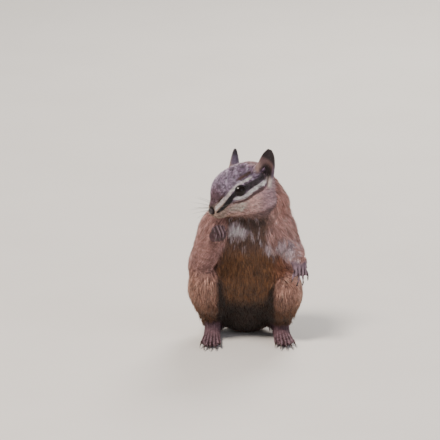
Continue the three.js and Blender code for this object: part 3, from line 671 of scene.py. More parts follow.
def bodyMarkings(points):
    x, y, z = points.T
    front = smoothStep(4, -6, y)
    upright = points * (1, 1, 0.4)
    chest = smoothStep(35, 43, z) * smoothStep(57, 53, z) * front * smoothStep(13, 7.5, np.abs(x + 0.5))
    throat = ovalGap(x, z, (-3.4, 47), (4.6, 3.0)) + 0.25 * slowNoise(points, 3.5, 43)
    streaks = ovalGap(x, z, (11.5, 41), (4.0, 6.0)) + 0.4 * slowNoise(upright, 2.5, 45)
    # Where the head shades the neck under the jaw and cheek: painted shadow.
    jaw = ovalGap(x, z, (1.6, 49.8), (5.0, 1.8)) + 0.25 * slowNoise(points, 3, 41)
    return painted(points, "flank", [
        ("shoulder", smoothStep(34, 46, z)),
        ("neck", smoothStep(48, 54, z)),
        # The cheek's fur runs onto the neck under the head, and is lightened there as painted light where the
        # head shades the neck.
        ("cheek", 0.85 * front * smoothStep(1.2, 0.5, ovalGap(x, z, (5.5, 53), (9.0, 4.0)))),
        ("belly", front * smoothStep(15.5, 9, np.abs(x)) * smoothStep(47, 37, z)),
        ("chest", chest),
        # The throat's pale fur, painted lighter still as painted light where the head shades it.
        ("throat", 0.9 * front * smoothStep(1.3, 0.4, throat)),
        ("chestLight", 0.6 * front * smoothStep(1.2, 0.4, streaks)),
        ("chestLight", 0.5 * chest * smoothStep(0.5, 0.9, slowNoise(upright, 2.2, 47))),
        # Painted shadow under the jaw.
        ("jaw", 0.9 * front * smoothStep(1.3, 0.6, jaw)),
        # Painted shade under the belly and in the gap between the right thigh and the belly.
        ("bellyLow", smoothStep(12, 4, y) * smoothStep(19, 12, z)),
        ("bellyLow", 0.9 * front * smoothStep(7.5, 10.5, -x) * smoothStep(30, 24, z)),
        *backLayers(points),
    ])


def limbMarkings(points):
    x, y, z = points.T
    streaks = ovalGap(x, z, (16.5, 38.5), (5.5, 4.5)) + 0.4 * slowNoise(points * (1, 1, 0.4), 2.5, 45)
    return painted(points, "thigh", [
        ("shoulder", smoothStep(24, 34, z)),
        ("thighLow", smoothStep(22, 9, z)),
        ("chestLight", 0.8 * smoothStep(3, -4, y) * smoothStep(1.2, 0.4, streaks)),
        # Painted shade on the inner sides of the thighs, where they meet the belly.
        ("bellyLow", smoothStep(13.2, 10.6, np.abs(x)) * smoothStep(31, 26, z)),
    ])


# Each ear's root, tip and opening in the head's frame, laid out as a left ear.
earPlan = {
    "left": ((6.1, 6.6, -1.7), (11.8, 11.4, 13.9), (0.72, -0.7, 0.05)),
    "right": ((8, 5.4, -2.7), (10.4, 10.9, 14), (0.82, -0.56, 0.05)),
}


def earPlaces(points):  # how high up the ear points lie, and how far towards its rear edge
    local = toHead(points)
    height, rear = np.zeros((2, len(points)))
    onLeft = local[:, 0] > 0
    for here, side in ((onLeft, "left"), (~onLeft, "right")):
        root, tip, opening = earPlan[side]
        offset = local[here] * (np.sign(local[here, :1]) ** np.array((1, 0, 0))) - root
        up = unit(np.array(tip) - root)
        height[here], rear[here] = offset @ up, offset @ np.cross(up, unit(opening))
    return height, rear


def earMarkings(points):
    height, rear = earPlaces(points)
    return painted(points, "earInside", [
        # Painted shade deep in the ear's cup.
        ("earHollow", smoothStep(3.9, 1.7, np.hypot((height - 7.8) * 0.7, rear - 0.4))),
        ("earRim", 0.9 * smoothStep(-1.2, -2.6, rear) * smoothStep(14, 10.5, height)),
        ("earBack", 0.75 * smoothStep(2.2, 3.4, rear)),
        ("earBase", 0.9 * smoothStep(8.0, 5.6, height) * smoothStep(1.4, 2.6, rear)),
        ("earTip", 0.95 * smoothStep(12.2, 14.4, height + 0.5 * rear)),
    ])


def earBackMarkings(points):
    height, _ = earPlaces(points)
    return painted(points, "earBack", [
        ("crown", 0.7 * smoothStep(7.5, 4, height)), ("earTip", 0.85 * smoothStep(14.0, 16.4, height)),
    ])


def pawMarkings(points):
    # Painted highlights run along the ridges over the bones of the paws, with painted shade in the grooves
    # between them. The fist is darker.
    x, _, z = points.T
    ridge, front = digitRidges(points)
    mottled = ridge + 0.35 * slowNoise(points, 2.2, 51)
    return painted(points, "pawHair", [
        ("handLight", 0.6 * smoothStep(20, 24, z) * smoothStep(0, 4, x)),
        ("fist", 0.9 * smoothStep(40, 44, z)),
        # Painted highlight on the ridges, then painted shade in the grooves.
        ("pawStreak", mix(0.2, 0.48, front) * smoothStep(0.55, 1.05, mottled)),
        ("fist", mix(0.25, 0.85, front) * smoothStep(0.45, 0.1, mottled)),
    ])


def tailMarkings(points):
    return painted(points, "tailRoot", [])


painters = {
    "head": headMarkings, "ear": earMarkings, "earBack": earBackMarkings, "hand": pawMarkings,
    "foot": pawMarkings, "tail": tailMarkings,
}
painters.update({part: limbMarkings for part in ("thigh", "shank", "upper_arm", "forearm")})
painters.update({part: bodyMarkings for part in ("chest", "abdomen", "neck")})
regionNames = sorted(set(regionOf))
skinShares = np.stack([(pointRegion == name).astype(float) for name in regionNames], 1)
# The back of an ear is what faces away from its opening.
leftOpening, rightOpening = earPlan["left"][2], np.array(earPlan["right"][2]) * (-1, 1, 1)
openings = np.where(headLocal[:, :1] > 0, leftOpening, rightOpening)
earBackShare = smoothStep(0.15, -0.25, np.sum((outerNormals @ headTurn) * openings, axis=1))
earColumn = regionNames.index("ear")
skinShares = np.column_stack([skinShares, skinShares[:, earColumn] * earBackShare])
skinShares[:, earColumn] -= skinShares[:, -1]
regionNames.append("earBack")
skinShares = around.spread(skinShares, 3)


def markings(points, shares):  # the coat's colour at a point, mixed where parts meet
    colour = np.zeros((len(points), 3))
    for number, name in enumerate(regionNames):
        used = np.flatnonzero(shares[:, number] > 0.02)
        if len(used):
            colour[used] += painters[name](points[used]) * shares[used, number:number + 1]
    return colour / np.maximum(shares.sum(1, keepdims=True), 1e-6)


skinColour = markings(outerPoints, skinShares)
# The cup of an ear is almost bare up to its rim.
earHeight, earRear = earPlaces(outerPoints)
cupShare = skinShares[:, earColumn] * smoothStep(3.1, 2.3, np.abs(earRear))
tuftDensity = tuftDensity * (1 - 0.8 * cupShare * smoothStep(6.5, 8.5, earHeight))
print("markings laid on the skin")


# Lie of the coat: backwards over the head, down the body, along each limb, and outwards on the ears.

def lieOf(points, normals):
    local = toHead(points)
    fromEye = local - np.array(eyeSize["place"]) * np.where(local[:, :1] > 0, 1, -1) ** np.array((1, 0, 0))
    eyePull = smoothStep(7, 3.5, np.linalg.norm(fromEye, axis=1))[:, None]
    headWay = 0.7 * unit(local - np.array(noseCentre)) + np.array((0, 0.6, -0.22))
    rump = smoothStep(20, 8, points[:, 2])[:, None] * smoothStep(0, 12, points[:, 1])[:, None]
    bodyWay = mix((0, 0.12, -1), (0, 1, -0.7), rump)
    ways = {
        "head": unit(headWay + 0.9 * eyePull * unit(fromEye)) @ headTurn.T,
        "neck": unit(np.array((2, 2, 49)) - inHead((0, 8, -2.4))) + (0, 0.1, 0),
        "chest": bodyWay, "abdomen": bodyWay, "tail": (0, 1, 0),
    }
    for side, sign, bend in (("right", -1, 0), ("left", 1, 0.8)):
        joint = joints[side]
        ways.update({
            f"ear_{side}": np.array((5.8 * sign, 5, 15.7)) @ headTurn.T,
            f"upper_arm_{side}": joint["elbow"] - joint["shoulder"],
            f"forearm_{side}": unit(joint["wrist"] - joint["elbow"]) - (0, 0, bend),
            f"hand_{side}": digitPlan["grips"][side]["along"],
            f"thigh_{side}": (0, 0.3, -1),
            f"shank_{side}": joint["ankle"] - joint["knee"],
            f"foot_{side}": joint["toes"] - joint["heel"],
        })
    lie = np.zeros_like(points)
    for number, name in enumerate(fleshNames + ["tail"]):
        here = skinLabels == number
        lie[here] = np.broadcast_to(ways[name], points.shape)[here]
    return laidAlong(around.spread(unit(lie), 60), normals)


skinLie = lieOf(outerPoints, skinNormals)
print("lie of the coat set")


# Materials. Each starts from what the real surface is.

def skinMaterial():
    # Living skin with down on it: matt, finely creased on the paws, in the coat's colours under the hair.
    creases = {"spacing": 0.5, "depth": 0.12}
    material, tree = newMaterial("downy_skin")
    colour = addNode(tree, "ShaderNodeAttribute", {"attribute_name": "markings"})
    bare = addNode(tree, "ShaderNodeAttribute", {"attribute_name": "bareness"})
    cells = addPattern(tree, "Voronoi", {"feature": "DISTANCE_TO_EDGE", "Scale": 1000 / creases["spacing"]})
    pores = addPattern(tree, "Noise", {"Scale": 3000.0, "Detail": 3.0})
    relief = addNode(
        tree, "ShaderNodeMath", {"operation": "MULTIPLY"},
        {0: cells.outputs["Distance"], 1: bare.outputs["Fac"]},
    )
    height = addNode(
        tree, "ShaderNodeMath", {"operation": "ADD"}, {0: relief.outputs[0], 1: pores.outputs["Fac"]}
    )
    bump = addNode(
        tree, "ShaderNodeBump", {"Strength": 0.5, "Distance": creases["depth"] / 1000},
        {"Height": height.outputs[0]},
    )
    finishMaterial(
        tree, {"Roughness": 0.62, "IOR": 1.42, "Specular IOR Level": 0.4},
        {"Base Color": colour.outputs["Color"], "Normal": bump.outputs["Normal"]},
    )
    return material


def furMaterial(name, roughness, sheen):
    # Guard hairs: fine keratin, lightly glossy along the hair, which scatters light between the tufts.
    material, tree = newMaterial(name)
    colour = addNode(tree, "ShaderNodeAttribute", {"attribute_name": "coatColour"})
    fleck = addPattern(tree, "Noise", {"Scale": 1600.0, "Detail": 2.0})
    shade = addNode(
        tree, "ShaderNodeMapRange", {"From Min": 0.3, "From Max": 0.7, "To Min": 0.86, "To Max": 1.14},
        {"Value": fleck.outputs["Fac"]},
    )
    tone = addNode(
        tree, "ShaderNodeHueSaturation", None,
        {"Color": colour.outputs["Color"], "Value": shade.outputs["Result"]},
    )
    finishMaterial(
        tree, {"Roughness": roughness, "IOR": 1.55, "Specular IOR Level": 0.22, "Sheen Weight": sheen,
               "Sheen Roughness": 0.5}, {"Base Color": tone.outputs["Color"]},
    )
    return material


def moistSkinMaterial(name, tones, roughness, grain):
    # Bare moist skin, pebbled: dark in its creases, with a soft wet shine.
    material, tree = newMaterial(name)
    cells = addPattern(tree, "Voronoi", {"feature": "F1", "Scale": 1000 / grain}).outputs["Distance"]
    bump = addNode(
        tree, "ShaderNodeBump", {"Strength": 0.6, "Distance": 0.00006, "invert": True}, {"Height": cells}
    )
    finishMaterial(
        tree, {"Roughness": roughness, "IOR": 1.42, "Coat Weight": 0.35, "Coat Roughness": 0.25},
        {"Base Color": twoTones(tree, tones, cells), "Normal": bump.outputs["Normal"]},
    )
    return material


# Coat. Tufts are closed three-sided spikes, set on the skin and laid along it, and joined by region. A few
# guard hairs are longer and thinner than the rest, and stand a little out of the coat.

coatPlan = {
    "rootSunk": 0.18, "flatness": 0.55, "clearance": 0.03, "patch": 0.003, "lieTurn": 14, "lieWander": 9,
    "lengths": (0.72, 1.12), "widths": (0.8, 1.2), "rise": (2.6, 1.2), "highest": 1.12, "middle": 0.45,
    "middleRise": 0.72, "clumpShare": 0.11, "clumpPull": 0.44, "clumpTone": 0.34, "rootTone": 0.34,
    "tones": (0.85, 1.18), "paleTip": (0.72, 2.0), "darkTip": (0.26, 0.42), "brightest": 0.85,
    "guardShare": 0.07, "guardLonger": 1.3, "guardThinner": 0.6, "guardHigher": 1.25,
    "eyeClear": 1.05, "noseClear": 1.3,
}
coatNames = {"shank": "leg", "upper_arm": "arm", "forearm": "arm", "hand": "hands", "ear": "ears"}
undivided = ("neck", "hands", "ears")
skinFaces = readArray(skinMesh.polygons, "vertices", 4, int)
faceLabels = skinLabels[skinFaces[:, 0]]
skinTree = BVHTree.FromPolygons([Vector(point) for point in sunkPoints], skinFaces.tolist())


def bareness(points, normals):  # 1 where no hair grows: the nose, lips, soles, palms and the eyes' openings
    local = toHead(points)
    share, lift = eyeShare(local)
    under = smoothStep(0.1, -0.25, normals[:, 2])
    return np.max([
        smoothStep(1.8, 1.4, gapTo(local, noseCentre)),
        smoothStep(1.2, 1.08, share) * smoothStep(0, 0.6, lift),
        np.isin(pointRegion, ("hand", "foot")) * np.maximum(under, 0.25),
        smoothStep(0.9 - shift[2], 0.4 - shift[2], points[:, 2]) * under,
    ], axis=0)


skinBare = bareness(outerPoints, outerNormals)


def unwrapOf(faces):  # an unwrap of these faces of the skin, as one place for each of their corners
    used, local = np.unique(faces, return_inverse=True)
    mesh = bpy.data.meshes.new("unwrap")
    mesh.from_pydata((sunkPoints[used] / 1000).tolist(), [], local.reshape(-1, 4).tolist())
    piece = addObject("unwrap", mesh)
    bpy.context.view_layer.objects.active = piece
    piece.select_set(True)
    mesh.uv_layers.new(name="OFBake")
    bpy.ops.object.mode_set(mode="EDIT")
    bpy.ops.mesh.select_all(action="SELECT")
    bpy.ops.uv.smart_project(angle_limit=math.radians(70), island_margin=0.002)
    bpy.ops.object.mode_set(mode="OBJECT")
    places = readArray(mesh.uv_layers["OFBake"].data, "uv", 2)
    bpy.data.objects.remove(piece)
    bpy.data.meshes.remove(mesh)
    return places.reshape(-1, 4, 2)


def tuftMesh(name, rings, tips, sideways, upward, widths, colours, places):
    # rings: the middles of each tuft's rings, from the root on. widths: the half width of each ring.
    # colours: one for each ring and one for the tip. places: each root's place on the unwrap.
    count, ringCount = rings.shape[:2]
    corners = np.array([(1, 0), (-0.5, 0.86), (-0.5, -0.86)])
    offsets = (
        corners[:, 0, None] * upward[:, :, None, :] * coatPlan["flatness"]
        + corners[:, 1, None] * sideways[:, :, None, :]
    )
    ringPoints = rings[:, :, None, :] + offsets * widths[:, :, None, None]
    points = np.concatenate([ringPoints.reshape(count, -1, 3), tips[:, None]], 1)
    aboveFloor(points, coatPlan["clearance"])
    perTuft = ringCount * 3 + 1
    quads = []
    for ring in range(ringCount - 1):
        for side in range(3):
            near, far = ring * 3 + side, ring * 3 + (side + 1) % 3
            quads.append((near, far, far + 3, near + 3))
    last = (ringCount - 1) * 3
    ends = [(last + side, last + (side + 1) % 3, perTuft - 1) for side in range(3)] + [(2, 1, 0)]
    starts = np.arange(count)[:, None] * perTuft
    quadCorners = (np.array(quads).reshape(1, -1) + starts).ravel()
    endCorners = (np.array(ends).reshape(1, -1) + starts).ravel()
    vertexIndex = np.concatenate([quadCorners, endCorners])
    totals = np.concatenate([np.full(len(quadCorners) // 4, 4), np.full(len(endCorners) // 3, 3)])
    mesh = bpy.data.meshes.new(name)
    mesh.vertices.add(count * perTuft)
    mesh.loops.add(len(vertexIndex))
    mesh.polygons.add(len(totals))
    mesh.vertices.foreach_set("co", ((points.reshape(-1, 3) + shift) / 1000).ravel())
    mesh.loops.foreach_set("vertex_index", vertexIndex)
    mesh.polygons.foreach_set("loop_start", np.concatenate([[0], np.cumsum(totals)[:-1]]))
    mesh.update(calc_edges=True)
    shades = np.concatenate([np.repeat(colours[:, :-1], 3, 1), colours[:, -1:]], 1).reshape(-1, 3)
    shades = np.concatenate([shades, np.ones((len(shades), 1))], 1)
    layer = mesh.color_attributes.new("coatColour", "FLOAT_COLOR", "POINT")
    layer.data.foreach_set("color", shades.ravel())
    along = np.concatenate([np.repeat(np.arange(ringCount), 3), [ringCount]]) / ringCount - 0.5
    across = np.concatenate([np.tile(corners[:, 1] / 2, ringCount), [0]])
    patch = np.stack([along, across], 1) * coatPlan["patch"]
    uv = (places[:, None] + patch).reshape(-1, 2)
    mesh.uv_layers.new(name="OFBake").data.foreach_set("uv", uv[vertexIndex].ravel())
    return mesh


def scatterRoots(faces, density):
    # Even places on the faces: one throw walks along the summed area, so each face gets its fair share.
    corners = np.concatenate([faces[:, (0, 1, 2)], faces[:, (0, 2, 3)]])
    order = np.argsort(np.tile(np.arange(len(faces)), 2), kind="stable")
    corners = corners[order]
    a, b, c = (sunkPoints[corners[:, side]] for side in range(3))
    weight = np.linalg.norm(np.cross(b - a, c - a), axis=1) / 2 * density[corners].mean(1)
    total = np.cumsum(weight)
    count = int(total[-1])
    throws = (np.arange(count) + dice.uniform(size=count)) * total[-1] / count
    picked = np.minimum(np.searchsorted(total, throws), len(corners) - 1)
    u, v = dice.uniform(size=(2, count))
    folded = u + v > 1
    u, v = np.where(folded, 1 - u, u), np.where(folded, 1 - v, v)
    return corners[picked], np.stack([1 - u - v, u, v], 1), order[picked] % len(faces)


def blended(values, corners, shares):
    return np.einsum("nc,nc...->n...", shares, values[corners])


def walkAlong(points, ways, lengths):  # steps along the skin: where each point comes to, and the lie there
    ends = points + ways * lengths[:, None]
    found = [skinTree.find_nearest(Vector(end)) for end in ends]
    places = np.array([hit[0] for hit in found])
    faces = skinFaces[[hit[2] for hit in found]]
    normals = unit(skinNormals[faces].mean(1))
    lie = skinLie[faces].mean(1)
    # A tuft doesn't jump to another part that happens to lie close by.
    moved = places - points
    far = np.linalg.norm(moved, axis=1) > 1.6 * lengths
    places[far] = ends[far]
    return places, normals, laidAlong(lie, normals), far


def leadersOf(points, share):  # for each tuft, the nearest of a few leading ones
    count = len(points)
    leaders = dice.choice(count, max(1, int(count * share)), replace=False)
    leaderTree = BVHTree.FromPolygons(
        [Vector(place) for lead in points[leaders] for place in (lead, lead + 1e-3, lead + (0, 1e-3, 0))],
        [(3 * number, 3 * number + 1, 3 * number + 2) for number in range(len(leaders))],
    )
    return leaders[[leaderTree.find_nearest(Vector(point))[2] for point in points]]


def cornerPlaces(faces, faceNumbers, corners):  # where each root's triangle lies on the unwrap
    places = unwrapOf(faces)[faceNumbers]
    which = (faces[faceNumbers][:, :, None] == corners[:, None, :]).argmax(1)
    return np.take_along_axis(places, which[:, :, None], 1)


def tuftTones(rise, leader, contrast):  # how light each tuft is along it, and at its tip
    # Each clump has a tone, and single tips are banded pale or dark.
    count = len(rise)
    clumpTone = np.exp(dice.normal(size=count) * coatPlan["clumpTone"])[leader] ** contrast
    clumpTone = np.clip(clumpTone, 0.9 - 0.3 * contrast, 1.0 + 0.45 * contrast)
    agouti = dice.uniform(size=count)
    light = dice.uniform(*coatPlan["tones"], count) * (0.6 + 0.42 * rise) * clumpTone
    (paleFrom, pale), (darkTo, dark) = coatPlan["paleTip"], coatPlan["darkTip"]
    band = np.where(agouti > paleFrom, pale, np.where(agouti < darkTo, dark, 1.0)) ** contrast
    return light[:, None], (light * band)[:, None]


def growCoat(name, faces, material):
    corners, shares, faceNumbers = scatterRoots(faces, tuftDensity * (1 - skinBare))
    roots, normals, lie, parts = (
        blended(field, corners, shares) for field in (sunkPoints, skinNormals, skinLie, skinShares)
    )
    length, depth, width, contrast = (
        blended(field, corners, shares) for field in (tuftLength, coatDepth, tuftWidth, tuftContrast)
    )
    count = len(roots)
    normals = unit(normals)
    wander = slowNoise(roots, 6.5, 3) * coatPlan["lieTurn"] + dice.normal(size=count) * coatPlan["lieWander"]
    angle = np.radians(wander)[:, None]
    lie = laidAlong(lie, normals)
    lie = lie * np.cos(angle) + np.cross(normals, lie) * np.sin(angle)
    length = length * dice.uniform(*coatPlan["lengths"], count) * (1 + 0.14 * slowNoise(roots, 5, 8))
    rise = dice.beta(*coatPlan["rise"], count) * coatPlan["highest"]
    width = width * dice.uniform(*coatPlan["widths"], count) / 2
    guard = dice.uniform(size=count) < coatPlan["guardShare"]
    length = np.where(guard, length * coatPlan["guardLonger"], length)
    width = np.where(guard, width * coatPlan["guardThinner"], width)
    rise = np.where(guard, rise * coatPlan["guardHigher"], rise)
    middles, midNormals, midLie, _ = walkAlong(roots, lie, length * coatPlan["middle"])
    tips, tipNormals, _, far = walkAlong(middles, unit(midLie + lie), length * (1 - coatPlan["middle"]))
    heights = depth * rise + 0.05
    leader = leadersOf(roots, coatPlan["clumpShare"])
    pull = np.where(far | guard, 0, coatPlan["clumpPull"])[:, None]
    tips = tips + (tips[leader] - tips) * pull * smoothStep(0.9, 2.4, length)[:, None]
    aside = np.linalg.norm(roots - roots[leader], axis=1)
    tipHeight = heights * mix(1, 0.6, smoothStep(0.2, 1.3, aside) * ~guard)
    tips = tips + tipNormals * np.maximum(tipHeight, coatPlan["clearance"])[:, None]
    middles = middles + midNormals * (heights * coatPlan["middleRise"] + 0.04)[:, None]
    starts = roots - normals * coatPlan["rootSunk"]
    # Hair is left out where it would cross an eye or the nose.
    keep = np.ones(count, bool)
    for place in (middles, tips, (middles + tips) / 2):
        local = toHead(place)
        share, lift = eyeShare(local)
        keep &= ~((share < coatPlan["eyeClear"]) & (lift > 0))
        keep &= gapTo(local, noseCentre) > coatPlan["noseClear"]
    shown = markings(mix(middles, tips, 0.5), unit(parts))
    light, tipLight = tuftTones(rise, leader, contrast)
    colours = np.stack([shown * coatPlan["rootTone"], shown * light, shown * tipLight], 1)
    colours = np.minimum(colours, coatPlan["brightest"])
    rings = np.stack([starts, middles], 1)[keep]
    ways = np.stack([unit(middles - starts), unit(tips - starts)], 1)[keep]
    sideways = unit(np.cross(ways, np.stack([normals, midNormals], 1)[keep]))
    upward = np.cross(sideways, ways)
    widths = np.stack([width * 0.9, width], 1)[keep]
    places = np.einsum("nc,nco->no", shares[keep], cornerPlaces(faces, faceNumbers[keep], corners[keep]))
    mesh = tuftMesh(name, rings, tips[keep], sideways, upward, widths, colours[keep], places)
    print(name, len(rings), "tufts")
    showPiece(mesh, name, material)


def growCoats():
    coatMaterial = furMaterial("agouti_fur", 0.62, 0.1)
    middle = 0.3
    centres = sunkPoints[skinFaces].mean(1)
    headSide = toHead(centres)[:, 0]
    groups = {}
    for number, name in enumerate(fleshNames):
        part = bareName(name)
        group = coatNames.get(part, part)
        leftward = headSide > 0 if part == "head" else centres[:, 0] > middle
        for word, onSide in (("_left", leftward), ("_right", ~leftward)):
            piece = group if group in undivided else group + word
            groups[piece] = groups.get(piece, False) | ((faceLabels == number) & onSide)
    for piece, chosen in sorted(groups.items()):
        growCoat("coat_" + piece, skinFaces[chosen], coatMaterial)


growCoats()


# Tail: long locks on its core, ochre at the root, with a dark band and pale tips. Each lock leaves the core
# at a slant, then bends back along the tail: its steps are shares of its length and of its spread.

tailPlan = {
    "locks": 15000, "from": 0.12, "length": (9.5, 13.5), "width": 0.36, "spread": 5.0, "flat": 0.75,
    "clumps": 0.03, "pull": 0.5, "brush": 17.5, "routeLength": 84, "taper": (0.7, 1, 0.85, 0.5),
    "steps": ((0.0, 0.0), (0.3, 0.42), (0.68, 0.8), (1.0, 1.0)),
    "root": "7f5a3c", "ochre": "a87447", "band": "2c211c", "tip": "cdb89f", "under": "b98656",
}


def alongRoute(values, share):  # values given evenly along the tail, read at each share of its length
    where = share * (len(values) - 1)
    index = np.minimum(where.astype(int), len(values) - 2)
    return mix(values[index], values[index + 1], (where - index)[:, None])


def growTail():
    count = tailPlan["locks"]
    route = smoothPath(tailRoute, 240)
    share = tailPlan["from"] + (1 - tailPlan["from"]) * (np.arange(count) + dice.uniform(size=count)) / count
    centre, way = alongRoute(route, share), unit(alongRoute(unit(np.gradient(route, axis=0)), share))
    up = unit(np.array((0, 0, 1)) - way * way[:, 2:])
    side = np.cross(way, up)
    angle = dice.uniform(-math.pi, math.pi, count)
    # The underside, on which the tail lies, has fewer and flatter locks.
    angle = np.where((np.sin(angle) < -0.5) & (dice.uniform(size=count) < 0.6), -angle, angle)
    outward = side * np.cos(angle)[:, None] + up * np.sin(angle)[:, None] * tailPlan["flat"]
    core = mix(*skinPlan["tailCore"], share)
    length = dice.uniform(*tailPlan["length"], count) * mix(0.62, 1, smoothStep(0.05, 0.35, share))
    # Towards the end the locks differ more in length, and the longest keep to the middle, as a pointed brush.
    brush = smoothStep(0.8, 1, share)
    reach = dice.beta(1.2, 1.6, count)
    length = mix(length, tailPlan["brush"] * mix(0.4, 1, reach), brush)
    spread = tailPlan["spread"] * mix(0.5, 1, smoothStep(0.05, 0.4, share)) * dice.uniform(0.25, 1.08, count)
    spread = spread * mix(1, 0.85 * (1 - reach) ** 0.8 + 0.05, brush)
    turn = dice.normal(size=(2, count)) * 0.05
    way = unit(way + side * turn[0][:, None] + up * turn[1][:, None])
    start = centre + outward * (core * 0.8)[:, None]
    stations = []
    for along, out in tailPlan["steps"]:
        station = start + way * (length * along)[:, None] + outward * (spread * out)[:, None]
        if along > 0:  # the tail curves, so the far stations follow its route
            bend = alongRoute(route, np.clip(share + along * length / tailPlan["routeLength"], 0, 1))
            straight = centre + way * np.sum((bend - centre) * way, axis=1, keepdims=True)
            station = station + (bend - straight) * (share < 0.97)[:, None]
        stations.append(station)
    root, low, high, end = stations
    leader = leadersOf(start, tailPlan["clumps"])
    end = mix(end, end[leader], tailPlan["pull"] * (1 - brush)[:, None])
    edge = np.clip(spread / tailPlan["spread"], 0, 1)
    tone = dice.uniform(0.75, 1.25, count)[:, None]
    below = smoothStep(0.1, -0.6, np.sin(angle))[:, None]
    rootColour, ochre, dark, pale, under = (
        hexColour(tailPlan[name]) for name in ("root", "ochre", "band", "tip", "under")
    )
    ochre = mix(mix(ochre, under, below), dark, 0.25 * (1 - below))
    band = mix(dark, ochre, (0.25 + 0.55 * below) * dice.uniform(0, 1, (count, 1)))
    tip = mix(dark, pale, smoothStep(0.15, 0.75, edge)[:, None])
    colours = np.stack([rootColour * tone * 0.6, ochre * tone, band * tone, mix(band, tip, 0.35), tip], 1)
    rings = np.stack([root, low, high, mix(high, end, 0.6)], 1)
    directions = unit(np.stack([low - root, low - root, high - low, end - high], 1))
    sideways = unit(np.cross(directions, outward[:, None]))
    upward = np.cross(sideways, directions)
    half = tailPlan["width"] * dice.uniform(0.75, 1.25, count) / 2
    widths = half[:, None] * np.array(tailPlan["taper"])
    # The tail's skin is unwrapped as a tube: along the tail, and around it.
    places = np.stack([share, angle / (2 * math.pi) + 0.5], 1) * 0.98 + 0.01
    finish = furMaterial("tail_fur", 0.58, 0.25)
    fields = (rings, end, sideways, upward, widths, colours, places)
    middle = count // 2
    for name, chosen in (("tail_coat_near", slice(0, middle)), ("tail_coat_far", slice(middle, count))):
        mesh = tuftMesh(name, *(field[chosen] for field in fields))
        showPiece(mesh, name, finish)
    print("tail coat grown")


growTail()


# The skin becomes a piece, thinned a little and painted with the same markings, with painted shade in the
# grooves of the paws.

def showSkin():
    # Painted shade darkens the bare skin in the grooves between the fingers and toes.
    bareColour = mix(coatColours["paw"], skinColour, 0.6) * (1 - 0.6 * digitGroove[:, None])
    colour = mix(bareColour, skinColour * 0.62, 1 - onPaw[:, None])
    colour = mix(colour, skinColour * 0.85, (pointRegion == "ear")[:, None])
    rgba = np.concatenate([colour, np.ones((len(colour), 1))], 1)
    layer = skinMesh.color_attributes.new("markings", "FLOAT_COLOR", "POINT")
    layer.data.foreach_set("color", rgba.ravel())
    bare = skinMesh.attributes.new("bareness", "FLOAT", "POINT")
    bare.data.foreach_set("value", np.maximum(skinBare, onPaw).astype(np.float32))
    skinMesh.transform(toWorld)
    piece = addObject("skin", skinMesh)
    thin = piece.modifiers.new("Thin", "DECIMATE")
    thin.ratio = skinPlan["most"] / (2 * len(skinMesh.polygons))
    mesh = finalMesh(piece)
    skin = showPiece(mesh, "skin", skinMaterial())
    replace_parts(skin, *fleshNames, "tail")
    print("skin:", len(mesh.polygons), "triangles")


showSkin()


# Eyes and lids.

def makeEye(side, name, node, material):
    centre, outward, _, _ = eyeFrame(side)
    shape = bmesh.new()
    bmesh.ops.create_uvsphere(shape, u_segments=48, v_segments=32, radius=eyeSize["radius"])
    turn = Vector((0, 0, 1)).rotation_difference(Vector(outward)).to_matrix().to_4x4()
    for vert in shape.verts:  # the cornea swells a little from the ball
        aside = math.hypot(vert.co.x, vert.co.y) / eyeSize["corneaRadius"]
        if vert.co.z > 0 and aside < 1:
            vert.co.z += eyeSize["corneaLift"] * (1 - aside * aside) ** 1.5
    bmesh.ops.transform(shape, matrix=Matrix.Translation(Vector(centre)) @ turn, verts=shape.verts)
    eye = finishPiece(shape, name, material)
    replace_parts(eye, node)


# Each point of a lid's section: its share of the opening's half length and height, and how far it is from the
# middle of the eyeball.
lidPlan = {
    "steps": 48,
    "section": [(0.95, 3.0), (0.98, 3.09), (1.03, 3.15), (1.1, 3.13), (1.22, 2.95), (1.1, 2.7)],
}


def makeLids(side, name, material):
    centre, outward, forward, upward = eyeFrame(side)
    shape = bmesh.new()
    loops = []
    for grow, radius in lidPlan["section"]:
        ring = bmesh.ops.create_circle(shape, segments=lidPlan["steps"], radius=1)["verts"]
        for vert in ring:
            ahead, above = vert.co.x, vert.co.y
            dip = eyeSize["cornerDip"] * (max(ahead, 0) ** 3 + 0.5 * max(-ahead, 0) ** 3)
            onRim = forward * eyeSize["halfLength"] * ahead * grow
            slimmed = 1 - eyeSize["almond"] * ahead * ahead
            onRim = onRim + upward * (eyeSize["halfHeight"] * above * slimmed * grow - dip)
            lift = math.sqrt(max(radius**2 - onRim.dot(onRim), 0.3))
            vert.co = Vector(centre + onRim + outward * lift)
        loops.append(edgesOf(ring))
    for near, far in zip(loops, loops[1:] + loops[:1]):
        bmesh.ops.bridge_loops(shape, edges=near + far)
    finishPiece(shape, name, material)


# A dark brown iris that fills the eye, under a wet cornea that gives one sharp highlight.
eyeFinish = mingledMaterial(
    "wet_dark_eye", {"Scale": 1400.0, "Detail": 2.0}, ("0b0707", "1a100c"),
    {"Roughness": 0.08, "IOR": 1.376, "Specular IOR Level": 0.15, "Coat Weight": 0.4, "Coat Roughness": 0.02,
     "Coat IOR": 1.34},
)
lidFinish = moistSkinMaterial("lid_skin", ("1d1514", "0d0808"), 0.55, 0.3)
for side, word in ((1, "left"), (-1, "right")):
    makeEye(side, "eyeball_" + word, "eye_" + word, eyeFinish)
    makeLids(side, "lids_" + word, lidFinish)
print("eyes and lids made")


# Nose: the solid's own shape, rounded finer.

nosePlan = {"voxel": 0.1, "smoothing": 1, "tones": ("33262a", "171012"), "roughness": 0.36, "grain": 0.22}


